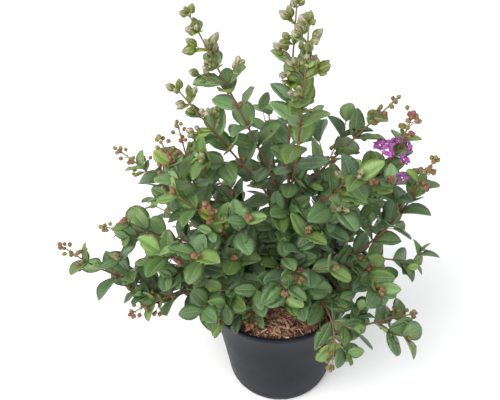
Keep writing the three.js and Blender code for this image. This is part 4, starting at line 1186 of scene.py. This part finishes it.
# The shoots, twigs and stalks themselves, one skin for each thickness of wood. Their colour runs
# from red-brown to green by how young the wood is.
SHOOT_SIDES = 12
SHOOT_RINGS = 90
NODE_SWELL = 0.22
NODE_LENGTH = 1.6
TWIG_RADIUS = 0.85
TWIG_RINGS = 14
TWIG_SIDES = 8
STALK_RINGS = 5
STALK_SIDES = 6
TWIG_RED = (0.21, 0.08, 0.055, 1)
TWIG_GREEN = (0.21, 0.25, 0.08, 1)


def limb_tones(parts, use):
    """A seeded number from -1 to 1 for each limb."""
    return np.array([sway(part.seed, 1, use) for part in parts])


parts = [part for part in leafy if part.kind == "shoot"]
limb_rows = []
for part in parts:
    shares = np.linspace(part.row["bare"], 1, SHOOT_RINGS)
    gaps = [(shares - share) * part.limb.length / NODE_LENGTH for share, age in part.places]
    swell = 1 + NODE_SWELL * sum(np.exp(-gap ** 2) for gap in gaps)
    limb_rows.append((part.limb.at(shares), shoot_radius(shares, part.row["bare"]) * swell))
paths, radii = columns(limb_rows)
skin_rows = tubes(paths, radii, SHOOT_SIDES)
shoot_mesh = closed_skin("leafy_shoots", *skin_rows, tone=limb_tones(parts, 70))

parts = [part for part in leafy if part.kind != "shoot"]
shares = np.linspace(0, 1, TWIG_RINGS)
paths = np.array([part.limb.at(shares) for part in parts])
radii = np.tile(TWIG_RADIUS * (1.15 - 0.4 * shares), (len(parts), 1))
skin_rows = tubes(paths, radii, TWIG_SIDES)
twig_mesh = closed_skin("side_twigs", *skin_rows, tone=limb_tones(parts, 71))

starts, stops, thick, green = columns(stalks)
shares = np.linspace(0, 1, STALK_RINGS)
paths = starts[:, None] + (stops - starts)[:, None] * shares[:, None]
skin_rows = tubes(paths, thick[:, None] * (1 - 0.1 * shares), STALK_SIDES)
stalk_mesh = closed_skin("bud_stalks", *skin_rows, tone=4 * green)

# Young wood: red on the sunny lower part, green towards the tip, by the UV map's run along the limb.
shoot_material = new_material("young_wood", TWIG_RED, 0.5)
look = Nodes(shoot_material.node_tree)
cloud = look.noise(look.place(), scale=45, detail=4)
young = look.math("MULTIPLY_ADD", cloud, 0.7, round_and_along(look)[1])
young = look.math("MULTIPLY_ADD", own(look, "tone"), 0.12, young)
look.finish(
    Base_Color=look.mix(look.span(young, 0.9, 1.6), TWIG_RED, TWIG_GREEN),
    Normal=look.bump(cloud, 0.3, 0.0005),
)

for mesh in (shoot_mesh, twig_mesh, stalk_mesh):
    piece = hold(mesh, shoot_material)
    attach(piece, "root")
    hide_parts(*masses)

# Buds. The ripe ones are plump tops with six seams, green below and flushed with dusty pink above;
# the small ones are round beads, coral red where the sun reaches them. Both are painted darker in the
# grooves between their seams, as shade, and a little lighter on the ridges, as light.
BUD_SIDES = 12
BUD_SEAMS = 6
SEAM_START = (0.31, 0.17, 0.93)
BUDS = {
    "ripe": dict(
        heights=(-1.25, -1.05, -0.65, -0.1, 0.5, 1.0, 1.45, 1.8), end=2.0, seam=0.16, groove_shade=0.62,
        sizes=(0.2, 0.5, 0.84, 1.0, 0.94, 0.72, 0.46, 0.2),
        low=(0.15, 0.185, 0.03, 1), high=(0.40, 0.32, 0.26, 1), change=(0.67, 1.2),
    ),
    "small": dict(
        heights=(-1.1, -0.8, -0.3, 0.3, 0.75, 1.05), end=1.25, seam=0.05, groove_shade=0.7,
        sizes=(0.22, 0.62, 0.96, 0.98, 0.64, 0.24),
        low=(0.22, 0.215, 0.05, 1), high=(0.25, 0.078, 0.06, 1), change=(0.55, 1.1),
    ),
}


def bud_rings(rows, form):
    """Rings of turned buds, each along its own axis, with six shallow seams: its size at each
    height, more or less by the cosine of six times the angle."""
    spot, axis, radius, tone = columns(rows)
    side, beside = spoke_axes(axis, SEAM_START)
    angle = 2 * np.pi * np.arange(BUD_SIDES) / BUD_SIDES
    rim = side[:, None] * np.cos(angle)[:, None] + beside[:, None] * np.sin(angle)[:, None]
    sizes = np.array(form["sizes"])[:, None] * (1 + form["seam"] * np.cos(BUD_SEAMS * angle))
    up = axis[:, None] * radius[:, None, None]
    rings = rim[:, None] * (sizes[..., None] * radius[:, None, None, None])
    rings = rings + (spot[:, None] + up * np.array(form["heights"])[:, None])[:, :, None]
    ends = [spot + up[:, 0] * height for height in (form["heights"][0] - 0.05, form["end"])]
    return rings, *ends, tone


for kind, form in BUDS.items():
    *skin_rows, tones = bud_rings(buds[kind], form)
    mesh = closed_skin(f"{kind}_buds", *skin_rows, tone=tones)
    material = new_material(f"{kind}_bud", form["low"], 0.5)
    look = Nodes(material.node_tree)
    turn, along = round_and_along(look)
    cloud = look.noise(look.place(), scale=230, detail=4)
    flush = look.math("MULTIPLY_ADD", own(look, "tone"), 0.3, look.math("MULTIPLY_ADD", cloud, 0.5, along))
    colour = look.mix(look.span(flush, *form["change"]), form["low"], form["high"])
    # Painted shade in the grooves between the seams and painted light on the ridges, with random mottling.
    seams = look.math("PINGPONG", look.math("MULTIPLY", turn, BUD_SEAMS), 0.5)
    seam_shading = look.span(seams, 0.15, 0.45, 1.1, form["groove_shade"])
    shade = look.math("MULTIPLY", seam_shading, look.span(cloud, 0.3, 0.7, 0.6, 1.4))
    look.finish(Base_Color=scaled(look, colour, shade), Normal=look.bump(cloud, 0.6, 0.0006))
    piece = hold(mesh, material)
    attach(piece, "root")
    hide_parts(*masses)

# The open flowers: six petals each, purple and crumpled like crepe, on narrow claws that spread
# from the rim of the bud's cup.
PETALS = 6
PETAL_ROWS = np.array([0.06, 0.18, 0.28, 0.37, 0.46, 0.55, 0.64, 0.73, 0.82, 0.9, 0.97])
PETAL_OUTLINE = np.array([0.1, 0.09, 0.12, 0.36, 0.78, 0.98, 1.0, 0.96, 0.86, 0.66, 0.34])
PETAL_FRILL = 0.32
PETAL_FRILLS = 5.3
PETAL_PURPLE = (0.31, 0.03, 0.31, 1)
PETAL_LIGHT = (0.57, 0.15, 0.52, 1)
PETAL_THICKNESS = 0.22
petal_rows = []
for spot, axis, size, seed in flowers:
    side, beside = spoke_axes(axis, SEAM_START)
    for k in range(PETALS):
        a = np.radians(360 / PETALS * k + 16 * sway(seed, k, 80))
        rise = 0.45 + 0.45 * sway(seed, k, 81)
        ahead = unit(np.cos(a) * side + np.sin(a) * beside + axis * rise)
        face = unit(axis - ahead * (axis @ ahead))
        petal_rows.append((spot, ahead, face, size * (1 + 0.15 * sway(seed, k, 82)), seed, k))
root, ahead, face, length, seed, mark = columns(petal_rows)
petal = dict(
    root=root, ahead=ahead, face=face, length=length, wide=length * (0.95 + 0.2 * sway(seed, mark, 91)),
    fold=0.35 + 0.5 * sway(seed, mark, 83), arch=0.1 + 0.4 * sway(seed, mark, 84),
    bend=0.15 + 0.35 * sway(seed, mark, 85), sweep=0.22 * sway(seed, mark, 86),
    ripple=0.24 + 0.08 * sway(seed, mark, 87), cycles=3.6 + 1.0 * sway(seed, mark, 88),
    phase=chance(seed, mark, 89), twist=1.2 * sway(seed, mark, 90),
)
frill = np.sin(2 * np.pi * (PETAL_FRILLS * PETAL_ROWS + chance(seed, mark, 92)[:, None]))
skin_rows = blades(petal, PETAL_ROWS, PETAL_OUTLINE * (1 + PETAL_FRILL * frill), PETAL_THICKNESS)
petal_mesh = closed_skin("petals", *skin_rows, np.array([0, *PETAL_ROWS, 1]))

# Petal skin: two purples in fine crumples.
petal_material = new_material("crepe_petal", PETAL_PURPLE, 0.6, Sheen_Weight=0.3)
look = Nodes(petal_material.node_tree)
cloud = look.noise(look.place(), scale=380, detail=4)
look.finish(
    Base_Color=look.mix(look.span(cloud, 0.35, 0.7), PETAL_PURPLE, PETAL_LIGHT),
    Normal=look.bump(cloud, 0.8, 0.001),
)
petals = hold(petal_mesh, petal_material)
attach(petals, "root")
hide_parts("foliage_right_blossom")
